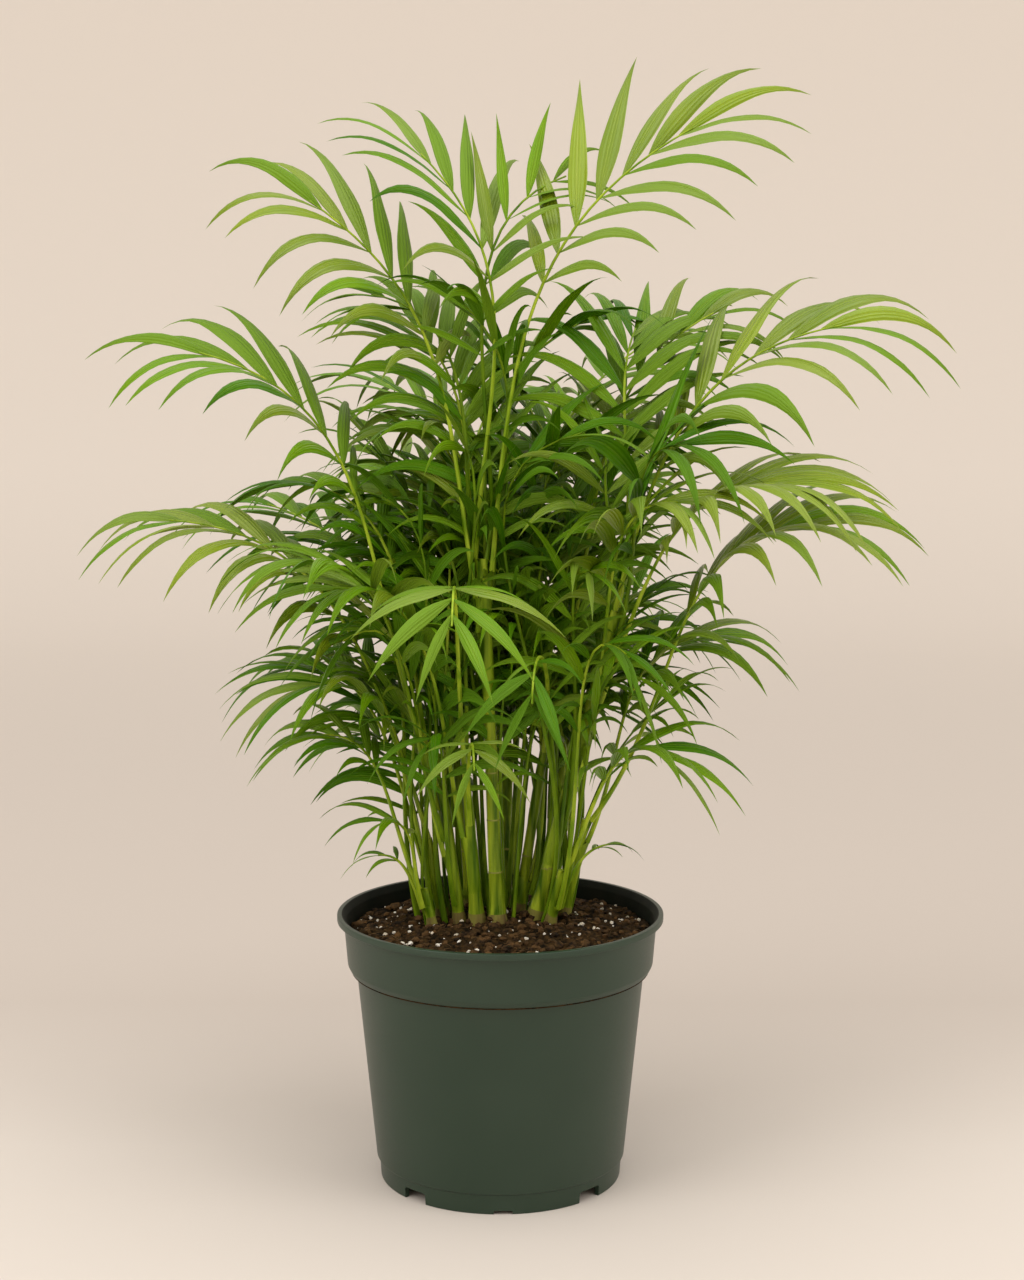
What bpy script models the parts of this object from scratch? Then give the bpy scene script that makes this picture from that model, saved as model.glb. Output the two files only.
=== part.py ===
"""A parlour palm in a round nursery pot.

A clump of ringed green canes stands in a pot filled with potting mix. Each cane carries
feather fronds: a slim stalk that arches over, with narrow leaflets in pairs along its outer part.
Lengths are in metres and angles in degrees. +Z is up and -Y is the plant's front. Azimuths run
from +X towards +Y. The origin is the centre of the pot's underside.
"""

import math
import random
from dataclasses import dataclass, replace

import bmesh
import bpy
from mathutils import Vector
from mathutils.bvhtree import BVHTree

UP = Vector((0.0, 0.0, 1.0))
GAP = 0.0003

POT_HEIGHT = 0.2095
RIM_RADIUS = 0.127
RIM_HEIGHT = 0.005
RIM_LIP = 0.0042
RIM_ROUND = 0.0008
COLLAR_TOP_RADIUS = 0.1218
COLLAR_FOOT_RADIUS = 0.1190
COLLAR_FOOT_Z = 0.1705
COLLAR_STEP = 0.0022
BODY_TOP_RADIUS = 0.1120
BODY_TOP_Z = 0.1640
BODY_FOOT_RADIUS = 0.0973
BODY_FOOT_Z = 0.0165
FOOT_RADIUS = 0.0952
FOOT_STEP = 0.0025
FOOT_EDGE = ((0.0018, 0.0), (0.0006, 0.0014))
FOOT_RING_WIDTH = 0.0038
CHANNEL_DEPTH = 0.0095
CHANNEL_INNER_RADIUS = 0.060
CHANNEL_DRAFT = 0.001
POT_WALL = 0.0020
INNER_STEP = 0.0015
FLOOR_THICKNESS = 0.0024
POT_SEGMENTS = 36

DEEP_NOTCH_WIDTH = 0.022
DEEP_NOTCH_HEIGHT = 0.009
SHALLOW_NOTCH_WIDTH = 0.0145
SHALLOW_NOTCH_HEIGHT = 0.003
NOTCH_DEPTH = 0.012
NOTCH_COUNT = 8
NOTCH_TURN = 1.5

SOIL_TOP_Z = 0.2005
SOIL_EDGE_Z = 0.1955
SOIL_FLAT_RADIUS = 0.075

CANE_SIDES = 6
CANE_RINGS = 5
CANE_TAPER = 0.58

STALK_SEGMENTS = 4
STALK_RADIUS = 0.0024
STALK_START_PULL = 0.45
STALK_END_PULL = 0.40
STALK_FOOT_ROOM = 0.012
STALK_TOP_ROOM = 0.004
RIB_TIP_RADIUS = 0.0009
RIB_TAPER_POWER = 0.8
LEAF_ROOT = 0.0044
LEAF_WIDTH_SHARE = 0.135
LEAF_THICKNESS = 0.0013
LEAF_UNDER_SHARE = 0.35
LEAF_FOLD = 0.08
LEAF_LIFT = 6.0
LEAF_TWIST = -26.0
LEAF_FAN_POWER = 1.2
LEAF_BEND_POWER = 1.5
LEAF_STEPS = 8
LEAF_RIM_ROOM = 0.001
TEST_SWELL = 0.0004

LEAF_LENGTH_SHARES = ((0.0, 0.70), (0.15, 0.88), (0.4, 1.0), (0.7, 0.95), (1.0, 0.78))
LEAF_WIDTH_SHARES = ((0.0, 0.3), (0.12, 0.62), (0.3, 0.96), (0.5, 1.0), (0.75, 0.64), (1.0, 0.0))

# A leaflet that would touch something is tried again turned, lifted or shortened by these.
LEAF_TRIES = (
    (0, 0, 1.0), (7, 0, 1.0), (-7, 0, 1.0), (0, 9, 1.0), (0, -9, 1.0), (7, 9, 0.9), (-7, -9, 0.9),
    (12, 0, 0.9), (-10, 12, 0.8), (0, -18, 0.8), (10, 18, 0.7), (0, 0, 0.6), (-10, -15, 0.55),
)
# A stalk that would touch something is tried again with its heading and height changed by these.
STALK_TRIES = (
    (0, 0.0), (5, 0.0), (-5, 0.0), (9, 0.004), (-9, -0.004), (14, 0.008), (-14, 0.008), (20, -0.006),
    (-20, 0.010), (27, 0.004), (-27, -0.008), (35, 0.008), (-35, 0.012), (48, 0.0), (-48, 0.006),
)

# Each finish is a colour and a roughness.
POT_GREEN = ((0.033, 0.057, 0.041, 1.0), 0.5)
SOIL_BROWN = ((0.035, 0.020, 0.011, 1.0), 0.95)
CANE_GREEN = ((0.190, 0.270, 0.035, 1.0), 0.55)
FROND_GREEN = ((0.075, 0.190, 0.018, 1.0), 0.45)

# An edge stays sharp where its faces meet at more than this angle.
POT_CREASE = 35
CANE_CREASE = 60
FROND_CREASE = 40


@dataclass(frozen=True)
class Cane:
    """One stem: its foot on the potting mix, its top and its radius at the foot."""

    name: str
    foot: tuple
    top: tuple
    radius: float

    def axis(self):
        start = Vector((self.foot[0], self.foot[1], SOIL_TOP_Z + GAP))
        return start, Vector(self.top)

    def point(self, height):
        start, end = self.axis()
        return start.lerp(end, (height - start.z) / (end.z - start.z))

    def girth(self, height):
        start, end = self.axis()
        share = (height - start.z) / (end.z - start.z)
        return self.radius * (1.0 + (CANE_TAPER - 1.0) * share)


@dataclass(frozen=True)
class Frond:
    """One frond: where it leaves its cane, where its tip is and how its blade is set.

    reach and rise run from the foot of the stalk to the end of the rib. lean is the angle
    between cane and stalk, slope the rib's angle over the horizon at its end. blade is the share
    of the length that bears leaflets. roll turns the blade about its rib.
    """

    name: str
    cane: str
    height: float
    azimuth: float
    reach: float
    rise: float
    lean: float
    slope: float
    blade: float
    pairs: int
    leaf: float
    roll: float = 0.0
    droop: float = 1.6
    fan: tuple = (54.0, 18.0)
    bends: int = 3


@dataclass(frozen=True)
class Tier:
    """A storey of similar fronds, dealt out over several canes by a seeded rule."""

    name: str
    canes: tuple
    count: int
    azimuths: tuple
    share: tuple
    reach: tuple
    rise: tuple
    slope: tuple
    blade: float
    pairs: int
    leaf: tuple
    leads: bool = False


CANES = (
    Cane("centre", (-0.002, -0.005), (-0.013, 0.002, 0.485), 0.0060),
    Cane("right_tall", (0.027, 0.010), (0.088, 0.000, 0.445), 0.0058),
    Cane("right_inner", (0.014, 0.030), (0.046, 0.036, 0.405), 0.0045),
    Cane("right", (0.050, 0.020), (0.066, 0.012, 0.280), 0.0044),
    Cane("right_front", (0.039, -0.003), (0.047, -0.012, 0.245), 0.0040),
    Cane("left", (-0.045, 0.014), (-0.056, 0.012, 0.265), 0.0046),
    Cane("left_inner", (-0.032, 0.002), (-0.044, -0.002, 0.310), 0.0044),
    Cane("left_low", (-0.053, -0.008), (-0.058, -0.010, 0.230), 0.0034),
    Cane("front", (-0.018, -0.002), (-0.026, -0.006, 0.310), 0.0056),
    Cane("back_left", (-0.026, 0.044), (-0.042, 0.062, 0.390), 0.0046),
    Cane("back", (0.004, 0.054), (0.006, 0.080, 0.420), 0.0048),
    Cane("back_right", (0.034, 0.052), (0.055, 0.072, 0.350), 0.0044),
)

# The fronds that stand out one by one. Those that grow on from a cane's tip have its full height.
FRONDS = (
    Frond("top", "centre", 0.485, 166, 0.042, 0.305, -6, 44, 0.46, 6, 0.120, 20, 1.5),
    Frond("right_top", "centre", 0.475, -8, 0.150, 0.330, 7, 28, 0.45, 7, 0.138, -42, 1.2),
    Frond("left_top", "centre", 0.455, 188, 0.124, 0.298, 7, 34, 0.50, 7, 0.128, 36, 1.8),
    Frond("left_high", "left_inner", 0.310, 196, 0.178, 0.332, 15, 14, 0.45, 7, 0.134, 24, 1.6),
    Frond("left_long", "left", 0.265, 186, 0.196, 0.250, 17, 4, 0.56, 8, 0.133, 15, 1.9),
    Frond("right_high", "right_tall", 0.445, -12, 0.168, 0.216, 13, 10, 0.66, 7, 0.150, -28, 1.6),
    Frond("right_long", "right", 0.280, -22, 0.172, 0.236, 24, 6, 0.44, 7, 0.145, -15, 1.6),
    Frond("right_rear", "right_inner", 0.405, 12, 0.118, 0.268, 5, 27, 0.50, 7, 0.115, -30, 1.6),
    Frond("right_mid", "right_tall", 0.370, -28, 0.150, 0.178, 7, -2, 0.50, 7, 0.140, -12, 1.5),
    Frond("right_low", "right", 0.262, -4, 0.090, 0.160, 12, 4, 0.52, 6, 0.128, -10, 1.8),
    Frond("right_lower", "right_front", 0.245, -30, 0.084, 0.098, 12, -26, 0.48, 5, 0.108, -5),
    Frond("right_least", "right_front", 0.222, 16, 0.040, 0.040, 8, 0, 0.38, 2, 0.045),
    Frond("left_low", "left", 0.250, 202, 0.088, 0.142, 6, -6, 0.46, 6, 0.125, 8, 1.7),
    Frond("left_lower", "left_low", 0.230, 178, 0.080, 0.120, 14, -9, 0.42, 5, 0.095, 10),
    Frond("left_small", "left_low", 0.222, 196, 0.034, 0.072, 8, 2, 0.35, 3, 0.075, 10, 1.8),
    Frond("left_least", "left_low", 0.214, 165, 0.036, 0.040, 10, -10, 0.40, 2, 0.055, 10, 1.8),
    Frond("left_rear", "left_inner", 0.290, 160, 0.125, 0.250, 8, -2, 0.46, 7, 0.105, 5),
    Frond("upper_left", "centre", 0.430, 140, 0.070, 0.235, 8, 35, 0.50, 7, 0.125, 15),
    Frond("upper_right", "right_tall", 0.425, 70, 0.060, 0.235, 8, 35, 0.50, 7, 0.125, -15),
    Frond("right_near", "right_tall", 0.310, -48, 0.105, 0.225, 8, 0, 0.50, 7, 0.120, -12),
    Frond("left_near", "front", 0.270, 212, 0.110, 0.200, 8, 0, 0.50, 7, 0.120, 12),
    Frond("front_star", "front", 0.310, -92, 0.170, 0.146, 6, -55, 0.24, 4, 0.098, 0, 1.0, (70, 25)),
    Frond("front_small", "front", 0.280, -87, 0.100, 0.062, 9, -60, 0.28, 3, 0.065, 0, 1.0, (65, 25)),
    Frond("front_right", "right_inner", 0.330, -94, 0.150, 0.062, 8, -75, 0.24, 3, 0.080, 0, 1.0, (45, 20)),
)

# The fronds behind and between them, by storey.
TIERS = (
    Tier("rear", ("back", "back_left", "back_right"), 8, (35, 158), (0.50, 0.95),
         (0.125, 0.185), (0.190, 0.290), (5, 30), 0.52, 7, (0.115, 0.135), True),
    Tier("fore", ("left_inner", "right_front"), 2, (-205, 25), (0.45, 0.80),
         (0.080, 0.120), (0.170, 0.230), (-35, -5), 0.48, 6, (0.095, 0.115)),
    Tier("inner", ("back", "right_inner", "back_left", "left_inner", "back_right"), 8,
         (-25, 235), (0.05, 0.60), (0.040, 0.100), (0.250, 0.350), (5, 45), 0.48, 8,
         (0.105, 0.125)),
    Tier("rear_low", ("back_right", "back_left", "right", "left"), 4, (15, 170),
         (0.06, 0.40), (0.090, 0.130), (0.100, 0.180), (-20, 5), 0.50, 7, (0.095, 0.115)),
)
TIER_SEED = 11
TIER_AZIMUTH_PLAY = 8
TIER_LEAN = (6, 12)
TIER_ROLL = (-25, 25)
TIER_DROOP = 1.6


def ramp(pairs, x):
    """Reads a value at x from straight runs between the given points."""
    for (x0, y0), (x1, y1) in zip(pairs, pairs[1:]):
        if x <= x1:
            return y0 + (y1 - y0) * (x - x0) / (x1 - x0)
    return pairs[-1][1]


def heading(azimuth, elevation):
    """Unit vector at an azimuth and an elevation."""
    a = math.radians(azimuth)
    e = math.radians(elevation)
    return Vector((math.cos(a) * math.cos(e), math.sin(a) * math.cos(e), math.sin(e)))


class Spine:
    """The centre line of a frond from its foot to its tip, read by length."""

    SAMPLES = 48

    def __init__(self, foot, start, tip, end, across, roll, blade):
        span = (tip - foot).length
        a = foot + start * span * STALK_START_PULL
        b = tip - end * span * STALK_END_PULL
        self.points = []
        for i in range(self.SAMPLES + 1):
            t = i / self.SAMPLES
            s = 1.0 - t
            self.points.append(foot * s ** 3 + a * 3 * s * s * t + b * 3 * s * t * t + tip * t ** 3)
        self.marks = [0.0]
        for p, q in zip(self.points, self.points[1:]):
            self.marks.append(self.marks[-1] + (q - p).length)
        self.length = self.marks[-1]
        self.across = across
        self.roll = math.radians(roll)
        self.blade = blade

    def at(self, distance):
        """Returns the point and the forward, right and upper directions at a distance."""
        distance = min(max(distance, 0.0), self.length)
        i = 0
        while i < self.SAMPLES - 1 and self.marks[i + 1] < distance:
            i += 1
        share = (distance - self.marks[i]) / (self.marks[i + 1] - self.marks[i])
        point = self.points[i].lerp(self.points[i + 1], share)
        before = self.points[i + 1] - self.points[max(i - 1, 0)]
        after = self.points[min(i + 2, self.SAMPLES)] - self.points[i]
        forward = before.normalized().lerp(after.normalized(), share).normalized()
        right = (self.across - forward * self.across.dot(forward)).normalized()
        upper = right.cross(forward)
        turn = self.roll * min(1.0, distance / (self.length * (1.0 - self.blade)))
        return (point, forward, right * math.cos(turn) + upper * math.sin(turn),
                upper * math.cos(turn) - right * math.sin(turn))


class Thicket:
    """What has been placed so far, for keeping new pieces clear of it."""

    def __init__(self):
        self.pieces = []

    @staticmethod
    def wrap(owner, verts, faces):
        tree = BVHTree.FromPolygons([tuple(v) for v in verts], faces)
        low = Vector(min(v[k] for v in verts) for k in range(3))
        high = Vector(max(v[k] for v in verts) for k in range(3))
        return owner, tree, low, high

    def add(self, owner, verts, faces):
        self.pieces.append(self.wrap(owner, verts, faces))

    def blocked(self, verts, faces, skip=()):
        """Tells whether a mesh cuts any piece placed so far, but for the owners to skip."""
        _, tree, low, high = self.wrap("", verts, faces)
        for owner, other, other_low, other_high in self.pieces:
            if owner in skip:
                continue
            if any(low[k] > other_high[k] or high[k] < other_low[k] for k in range(3)):
                continue
            if tree.overlap(other):
                return True
        return False


def ring_faces(rings, sides, start_cap=True, end_cap=True):
    """Faces of a tube whose rings have the same number of points."""
    faces = []
    for i in range(rings - 1):
        for k in range(sides):
            n = (k + 1) % sides
            faces.append((i * sides + k, i * sides + n, (i + 1) * sides + n, (i + 1) * sides + k))
    if start_cap:
        faces.append(tuple(reversed(range(sides))))
    if end_cap:
        faces.append(tuple(range((rings - 1) * sides, rings * sides)))
    return faces


def tube_ring(point, right, upper, radius, sides, first_angle):
    """Points of one regular ring round a centre line."""
    ring = []
    for k in range(sides):
        angle = first_angle + 2 * math.pi * k / sides
        ring.append(point + right * math.cos(angle) * radius + upper * math.sin(angle) * radius)
    return ring


def stalk_distances(spine, frond):
    """Distances of the stalk's plain rings, and of each leaflet pair's root along the rib."""
    bare = spine.length * (1.0 - frond.blade)
    plain = [bare * i / STALK_SEGMENTS for i in range(STALK_SEGMENTS)]
    roots = []
    for k in range(frond.pairs):
        share = (k + 0.5) / frond.pairs
        roots.append(bare + (spine.length - bare) * share)
    return plain, roots


def rib_radius(distance, length):
    """The rib's radius at a distance along a frond of a given length."""
    share = (distance / length) ** RIB_TAPER_POWER
    return STALK_RADIUS + (RIB_TIP_RADIUS - STALK_RADIUS) * share


def stalk_rings(spine, frond, swell=0.0):
    """Three-sided rings of a frond's stalk and rib. Each leaflet pair has a ring on either side."""
    plain, roots = stalk_distances(spine, frond)
    distances = list(plain)
    for root in roots:
        distances += [root - LEAF_ROOT / 2, root + LEAF_ROOT / 2]
    verts = []
    for distance in distances:
        point, _, right, upper = spine.at(distance)
        radius = rib_radius(distance, spine.length) + swell
        verts += tube_ring(point, right, upper, radius, 3, math.radians(-30))
    return verts


def leaf_line(root, forward, right, upper, side, share, frond, turn, lift, scale):
    """Centre points of a leaflet, with the leaf's width and upper directions at each."""
    length = frond.leaf * ramp(LEAF_LENGTH_SHARES, share) * scale
    first, last = frond.fan
    angle = math.radians(first + (last - first) * share ** LEAF_FAN_POWER + turn)
    rise = math.radians(LEAF_LIFT + lift)
    outward = right * side * math.cos(rise) + upper * math.sin(rise)
    start = forward * math.cos(angle) + outward * math.sin(angle)
    level = math.hypot(start.x, start.y)
    twist = math.radians(LEAF_TWIST)
    point = root.copy()
    line = []
    for i in range(LEAF_STEPS + 1):
        bend = frond.droop * level * (max(i - 0.5, 0.0) / LEAF_STEPS) ** LEAF_BEND_POWER
        along = (start - UP * bend).normalized()
        if i:
            point = point + along * length / LEAF_STEPS
        across = (upper.cross(along) * side).normalized()
        face = (along.cross(across) * side).normalized()
        line.append((point.copy(), across * math.cos(twist) + face * math.sin(twist),
                     face * math.cos(twist) - across * math.sin(twist), along))
    return line, length


def leaf_rings(line, length, bends, swell=0.0):
    """Three-sided rings of a leaflet and its tip: near edge, far edge, midrib."""
    stations = (2, 4, 6) if bends == 3 else (3, 6)
    verts = []
    for i in stations:
        point, across, face, _ = line[i]
        half = length * LEAF_WIDTH_SHARE * ramp(LEAF_WIDTH_SHARES, i / LEAF_STEPS) / 2
        low = point - face * (LEAF_THICKNESS * LEAF_UNDER_SHARE + half * LEAF_FOLD + swell)
        verts.append(low - across * (half + swell))
        verts.append(low + across * (half + swell))
        verts.append(point + face * (LEAF_THICKNESS * (1.0 - LEAF_UNDER_SHARE) + swell))
    tip, _, _, along = line[-1]
    verts.append(tip + along * swell)
    return verts


def leaf_faces(bends):
    """Faces of a leaflet's rings and tip, open at the root."""
    faces = ring_faces(bends, 3, start_cap=False, end_cap=False)
    last = 3 * (bends - 1)
    tip = 3 * bends
    for k in range(3):
        faces.append((last + k, last + (k + 1) % 3, tip))
    return faces


def root_faces(root, ring):
    """Faces between a quad on the rib and a leaflet's first ring.

    root is (low near, low far, top near, top far); ring is (near edge, far edge, midrib).
    """
    low_near, low_far, top_near, top_far = root
    edge_near, edge_far, ridge = ring
    return [(low_near, low_far, edge_far, edge_near), (low_far, top_far, ridge, edge_far),
            (top_near, low_near, edge_near, ridge), (top_far, top_near, ridge)]


def whole_leaf_faces(bends):
    """Faces of a leaflet with its root, whose four points on the rib come after the tip."""
    tip = 3 * bends
    return leaf_faces(bends) + root_faces(range(tip + 1, tip + 5), (0, 1, 2))


def split_faces(verts, faces, side):
    """Splits the four-sided faces of a leaflet along the diagonal that stands out.

    So the two sides of a thin, twisted leaflet don't pass through each other. The faces wind
    outwards on side 1 and inwards on side -1.
    """
    triangles = []
    for face in faces:
        if len(face) == 3:
            triangles.append(tuple(face))
            continue
        a, b, c, d = face
        normal = (verts[b] - verts[a]).cross(verts[c] - verts[a]) * side
        if normal.dot(verts[d] - verts[a]) < 0.0:
            triangles += [(a, b, c), (a, c, d)]
        else:
            triangles += [(a, b, d), (b, c, d)]
    return triangles


def root_quad(k, side):
    """Indices of the rib points that a leaflet is drawn out of."""
    ring = STALK_SEGMENTS + 2 * k
    near, far = 3 * ring, 3 * (ring + 1)
    low = 0 if side > 0 else 2
    return near + low, far + low, near + 1, far + 1


def principled(name, finish):
    """A plain Principled material."""
    colour, roughness = finish
    material = bpy.data.materials.new(name)
    material.use_nodes = True
    shader = material.node_tree.nodes["Principled BSDF"]
    shader.inputs["Base Color"].default_value = colour
    shader.inputs["Roughness"].default_value = roughness
    shader.inputs["Metallic"].default_value = 0.0
    return material


def finish_object(name, bm, material, smooth_angle=None):
    """Makes an object of a closed bmesh, with its faces pointing out."""
    bmesh.ops.recalc_face_normals(bm, faces=bm.faces)
    bmesh.ops.triangulate(bm, faces=bm.faces)
    mesh = bpy.data.meshes.new(name)
    bm.to_mesh(mesh)
    bm.free()
    if smooth_angle is not None:
        mesh.shade_smooth()
        mesh.set_sharp_from_angle(angle=math.radians(smooth_angle))
    mesh.materials.append(material)
    piece = bpy.data.objects.new(name, mesh)
    bpy.context.collection.objects.link(piece)
    return piece


def turned(profile):
    """A closed bmesh turned about Z from a profile whose two ends lie on the axis."""
    bm = bmesh.new()
    verts = [bm.verts.new((r, 0.0, z)) for r, z in profile]
    edges = [bm.edges.new(pair) for pair in zip(verts, verts[1:])]
    bmesh.ops.spin(bm, geom=verts + edges, cent=(0, 0, 0), axis=(0, 0, 1), angle=math.tau,
                   steps=POT_SEGMENTS, use_merge=True, use_duplicate=False)
    bmesh.ops.remove_doubles(bm, verts=bm.verts, dist=1e-6)
    return bm


def inner_profile(inset):
    """The pot's inside from the collar's top down to the floor's centre, moved in by inset."""
    floor = CHANNEL_DEPTH + FLOOR_THICKNESS + inset
    step = CHANNEL_INNER_RADIUS - INNER_STEP - inset
    wall = POT_WALL + inset
    return [
        (COLLAR_TOP_RADIUS - wall, POT_HEIGHT - RIM_HEIGHT),
        (COLLAR_FOOT_RADIUS - wall, COLLAR_FOOT_Z + INNER_STEP + inset),
        (BODY_TOP_RADIUS - wall, BODY_TOP_Z + INNER_STEP + inset),
        (FOOT_RADIUS - wall, floor),
        (step, floor),
        (step - CHANNEL_DRAFT, FLOOR_THICKNESS + inset),
        (0.0, FLOOR_THICKNESS + inset),
    ]


def make_pot():
    """The pot: foot ring round a drain channel, tapering body, stepped collar and flared lip."""
    ring_inner = FOOT_RADIUS - RIM_ROUND - FOOT_RING_WIDTH
    profile = [
        (0.0, 0.0),
        (CHANNEL_INNER_RADIUS - CHANNEL_DRAFT, 0.0),
        (CHANNEL_INNER_RADIUS, CHANNEL_DEPTH),
        (ring_inner - CHANNEL_DRAFT, CHANNEL_DEPTH),
        (ring_inner, 0.0),
        *((FOOT_RADIUS - inwards, z) for inwards, z in FOOT_EDGE),
        (FOOT_RADIUS, BODY_FOOT_Z - FOOT_STEP),
        (BODY_FOOT_RADIUS, BODY_FOOT_Z),
        (BODY_TOP_RADIUS, BODY_TOP_Z),
        (COLLAR_FOOT_RADIUS - COLLAR_STEP, BODY_TOP_Z + COLLAR_STEP),
        (COLLAR_FOOT_RADIUS, COLLAR_FOOT_Z),
        (COLLAR_TOP_RADIUS, POT_HEIGHT - RIM_HEIGHT - CHANNEL_DRAFT),
        (RIM_RADIUS - RIM_ROUND, POT_HEIGHT - RIM_HEIGHT),
        (RIM_RADIUS, POT_HEIGHT - RIM_HEIGHT / 2),
        (RIM_RADIUS - RIM_ROUND, POT_HEIGHT),
        (RIM_RADIUS - RIM_LIP, POT_HEIGHT),
    ] + inner_profile(0.0)
    pot = finish_object("pot", turned(profile), principled("pot_plastic", POT_GREEN), POT_CREASE)
    cutters = bpy.data.collections.new("foot_notches")
    bpy.context.scene.collection.children.link(cutters)
    for k in range(NOTCH_COUNT):
        deep = k % 2 == 1
        width = DEEP_NOTCH_WIDTH if deep else SHALLOW_NOTCH_WIDTH
        height = DEEP_NOTCH_HEIGHT if deep else SHALLOW_NOTCH_HEIGHT
        bm = bmesh.new()
        bmesh.ops.create_cube(bm, size=1.0)
        bmesh.ops.scale(bm, vec=(NOTCH_DEPTH, width, height * 2), verts=bm.verts)
        notch = finish_object(f"notch_{k}", bm, pot.data.materials[0])
        angle = math.radians(360 / NOTCH_COUNT * k - 90 + NOTCH_TURN)
        notch.location = (math.cos(angle) * FOOT_RADIUS, math.sin(angle) * FOOT_RADIUS, 0.0)
        notch.rotation_euler = (0, 0, angle)
        notch.hide_render = True
        notch.display_type = "WIRE"
        bpy.context.collection.objects.unlink(notch)
        cutters.objects.link(notch)
    cut = pot.modifiers.new("notches", "BOOLEAN")
    cut.operation = "DIFFERENCE"
    cut.operand_type = "COLLECTION"
    cut.collection = cutters
    cut.solver = "EXACT"


def make_soil():
    """The potting mix: fills the pot, flat round the canes and a little lower at the wall."""
    inside = inner_profile(GAP)
    top, collar = inside[0], inside[1]
    share = (SOIL_EDGE_Z - collar[1]) / (top[1] - collar[1])
    edge = (collar[0] + (top[0] - collar[0]) * share, SOIL_EDGE_Z)
    profile = [(0.0, SOIL_TOP_Z), (SOIL_FLAT_RADIUS, SOIL_TOP_Z), edge] + inside[1:]
    finish_object("soil", turned(profile), principled("potting_mix", SOIL_BROWN))


def make_cane(cane, thicket):
    """A six-sided tapering stem from the potting mix to its tip."""
    start, end = cane.axis()
    along = (end - start).normalized()
    right = along.cross(Vector((0, 1, 0))).normalized()
    upper = right.cross(along)
    verts = []
    for i in range(CANE_RINGS):
        share = i / (CANE_RINGS - 1)
        point = start.lerp(end, share)
        ring = tube_ring(point, right, upper, cane.girth(point.z), CANE_SIDES, 0.0)
        if i == 0:
            ring = [Vector((v.x, v.y, start.z)) for v in ring]
        verts += ring
    faces = ring_faces(CANE_RINGS, CANE_SIDES)
    thicket.add(cane.name, verts, faces)
    bm = bmesh.new()
    points = [bm.verts.new(v) for v in verts]
    for face in faces:
        bm.faces.new([points[i] for i in face])
    name = f"cane_{cane.name}"
    finish_object(name, bm, principled(name, CANE_GREEN), CANE_CREASE)


def frond_spine(frond, cane):
    """The centre line of a frond, starting on its cane's tip or beside the cane."""
    start, end = cane.axis()
    along = (end - start).normalized()
    away = heading(frond.azimuth, 0)
    on_tip = frond.height >= end.z
    if on_tip:
        foot = end + along * GAP
        first = heading(frond.azimuth, 90 - frond.lean)
    else:
        beside = (away - along * away.dot(along)).normalized()
        foot = cane.point(frond.height) + beside * (cane.girth(frond.height) + STALK_RADIUS + GAP)
        lean = math.radians(frond.lean)
        first = along * math.cos(lean) + beside * math.sin(lean)
    tip = foot + away * frond.reach + UP * frond.rise
    last = heading(frond.azimuth, frond.slope)
    across = Vector((away.y, -away.x, 0.0))
    return Spine(foot, first, tip, last, across, frond.roll, frond.blade)


def place_stalk(frond, canes, thicket):
    """Finds a heading for the stalk that keeps it clear of every cane and stalk so far."""
    cane = canes[frond.cane]
    for turn, up in STALK_TRIES:
        height = frond.height
        if frond.height < cane.top[2]:
            height = max(frond.height + up, SOIL_TOP_Z + STALK_FOOT_ROOM)
            height = min(height, cane.top[2] - STALK_TOP_ROOM)
        trial = replace(frond, azimuth=frond.azimuth + turn, height=height)
        spine = frond_spine(trial, cane)
        verts = stalk_rings(spine, trial)
        faces = ring_faces(len(verts) // 3, 3)
        if thicket.blocked(verts, faces):
            continue
        if thicket.blocked(stalk_rings(spine, trial, TEST_SWELL), faces, skip=(cane.name,)):
            continue
        thicket.add(frond.name, verts, faces)
        return trial, spine
    return None


def grow_leaflets(frond, spine, thicket):
    """Chooses a clear set for each leaflet. Returns its rings by rib station and side."""
    faces = leaf_faces(frond.bends)
    whole_faces = whole_leaf_faces(frond.bends)
    leaflets = {}
    stalk = stalk_rings(spine, frond)
    _, roots = stalk_distances(spine, frond)
    for k in reversed(range(frond.pairs)):
        share = k / max(frond.pairs - 1, 1)
        point, forward, right, upper = spine.at(roots[k])
        for side in (1, -1):
            for turn, lift, scale in LEAF_TRIES:
                line, length = leaf_line(point, forward, right, upper, side, share, frond,
                                         turn, lift, scale)
                swollen = leaf_rings(line, length, frond.bends, TEST_SWELL)
                if min(v.z for v in swollen) < POT_HEIGHT + LEAF_RIM_ROOM:
                    continue
                if thicket.blocked(swollen, split_faces(swollen, faces, side)):
                    continue
                root = [stalk[i] for i in root_quad(k, side)]
                swollen += root
                own = (frond.name, f"{frond.name}_{k}")
                if thicket.blocked(swollen, split_faces(swollen, whole_faces, side), skip=own):
                    continue
                verts = leaf_rings(line, length, frond.bends)
                whole = verts + root
                thicket.add(f"{frond.name}_{k}", whole, split_faces(whole, whole_faces, side))
                leaflets[k, side] = verts
                break
    return leaflets


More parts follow.
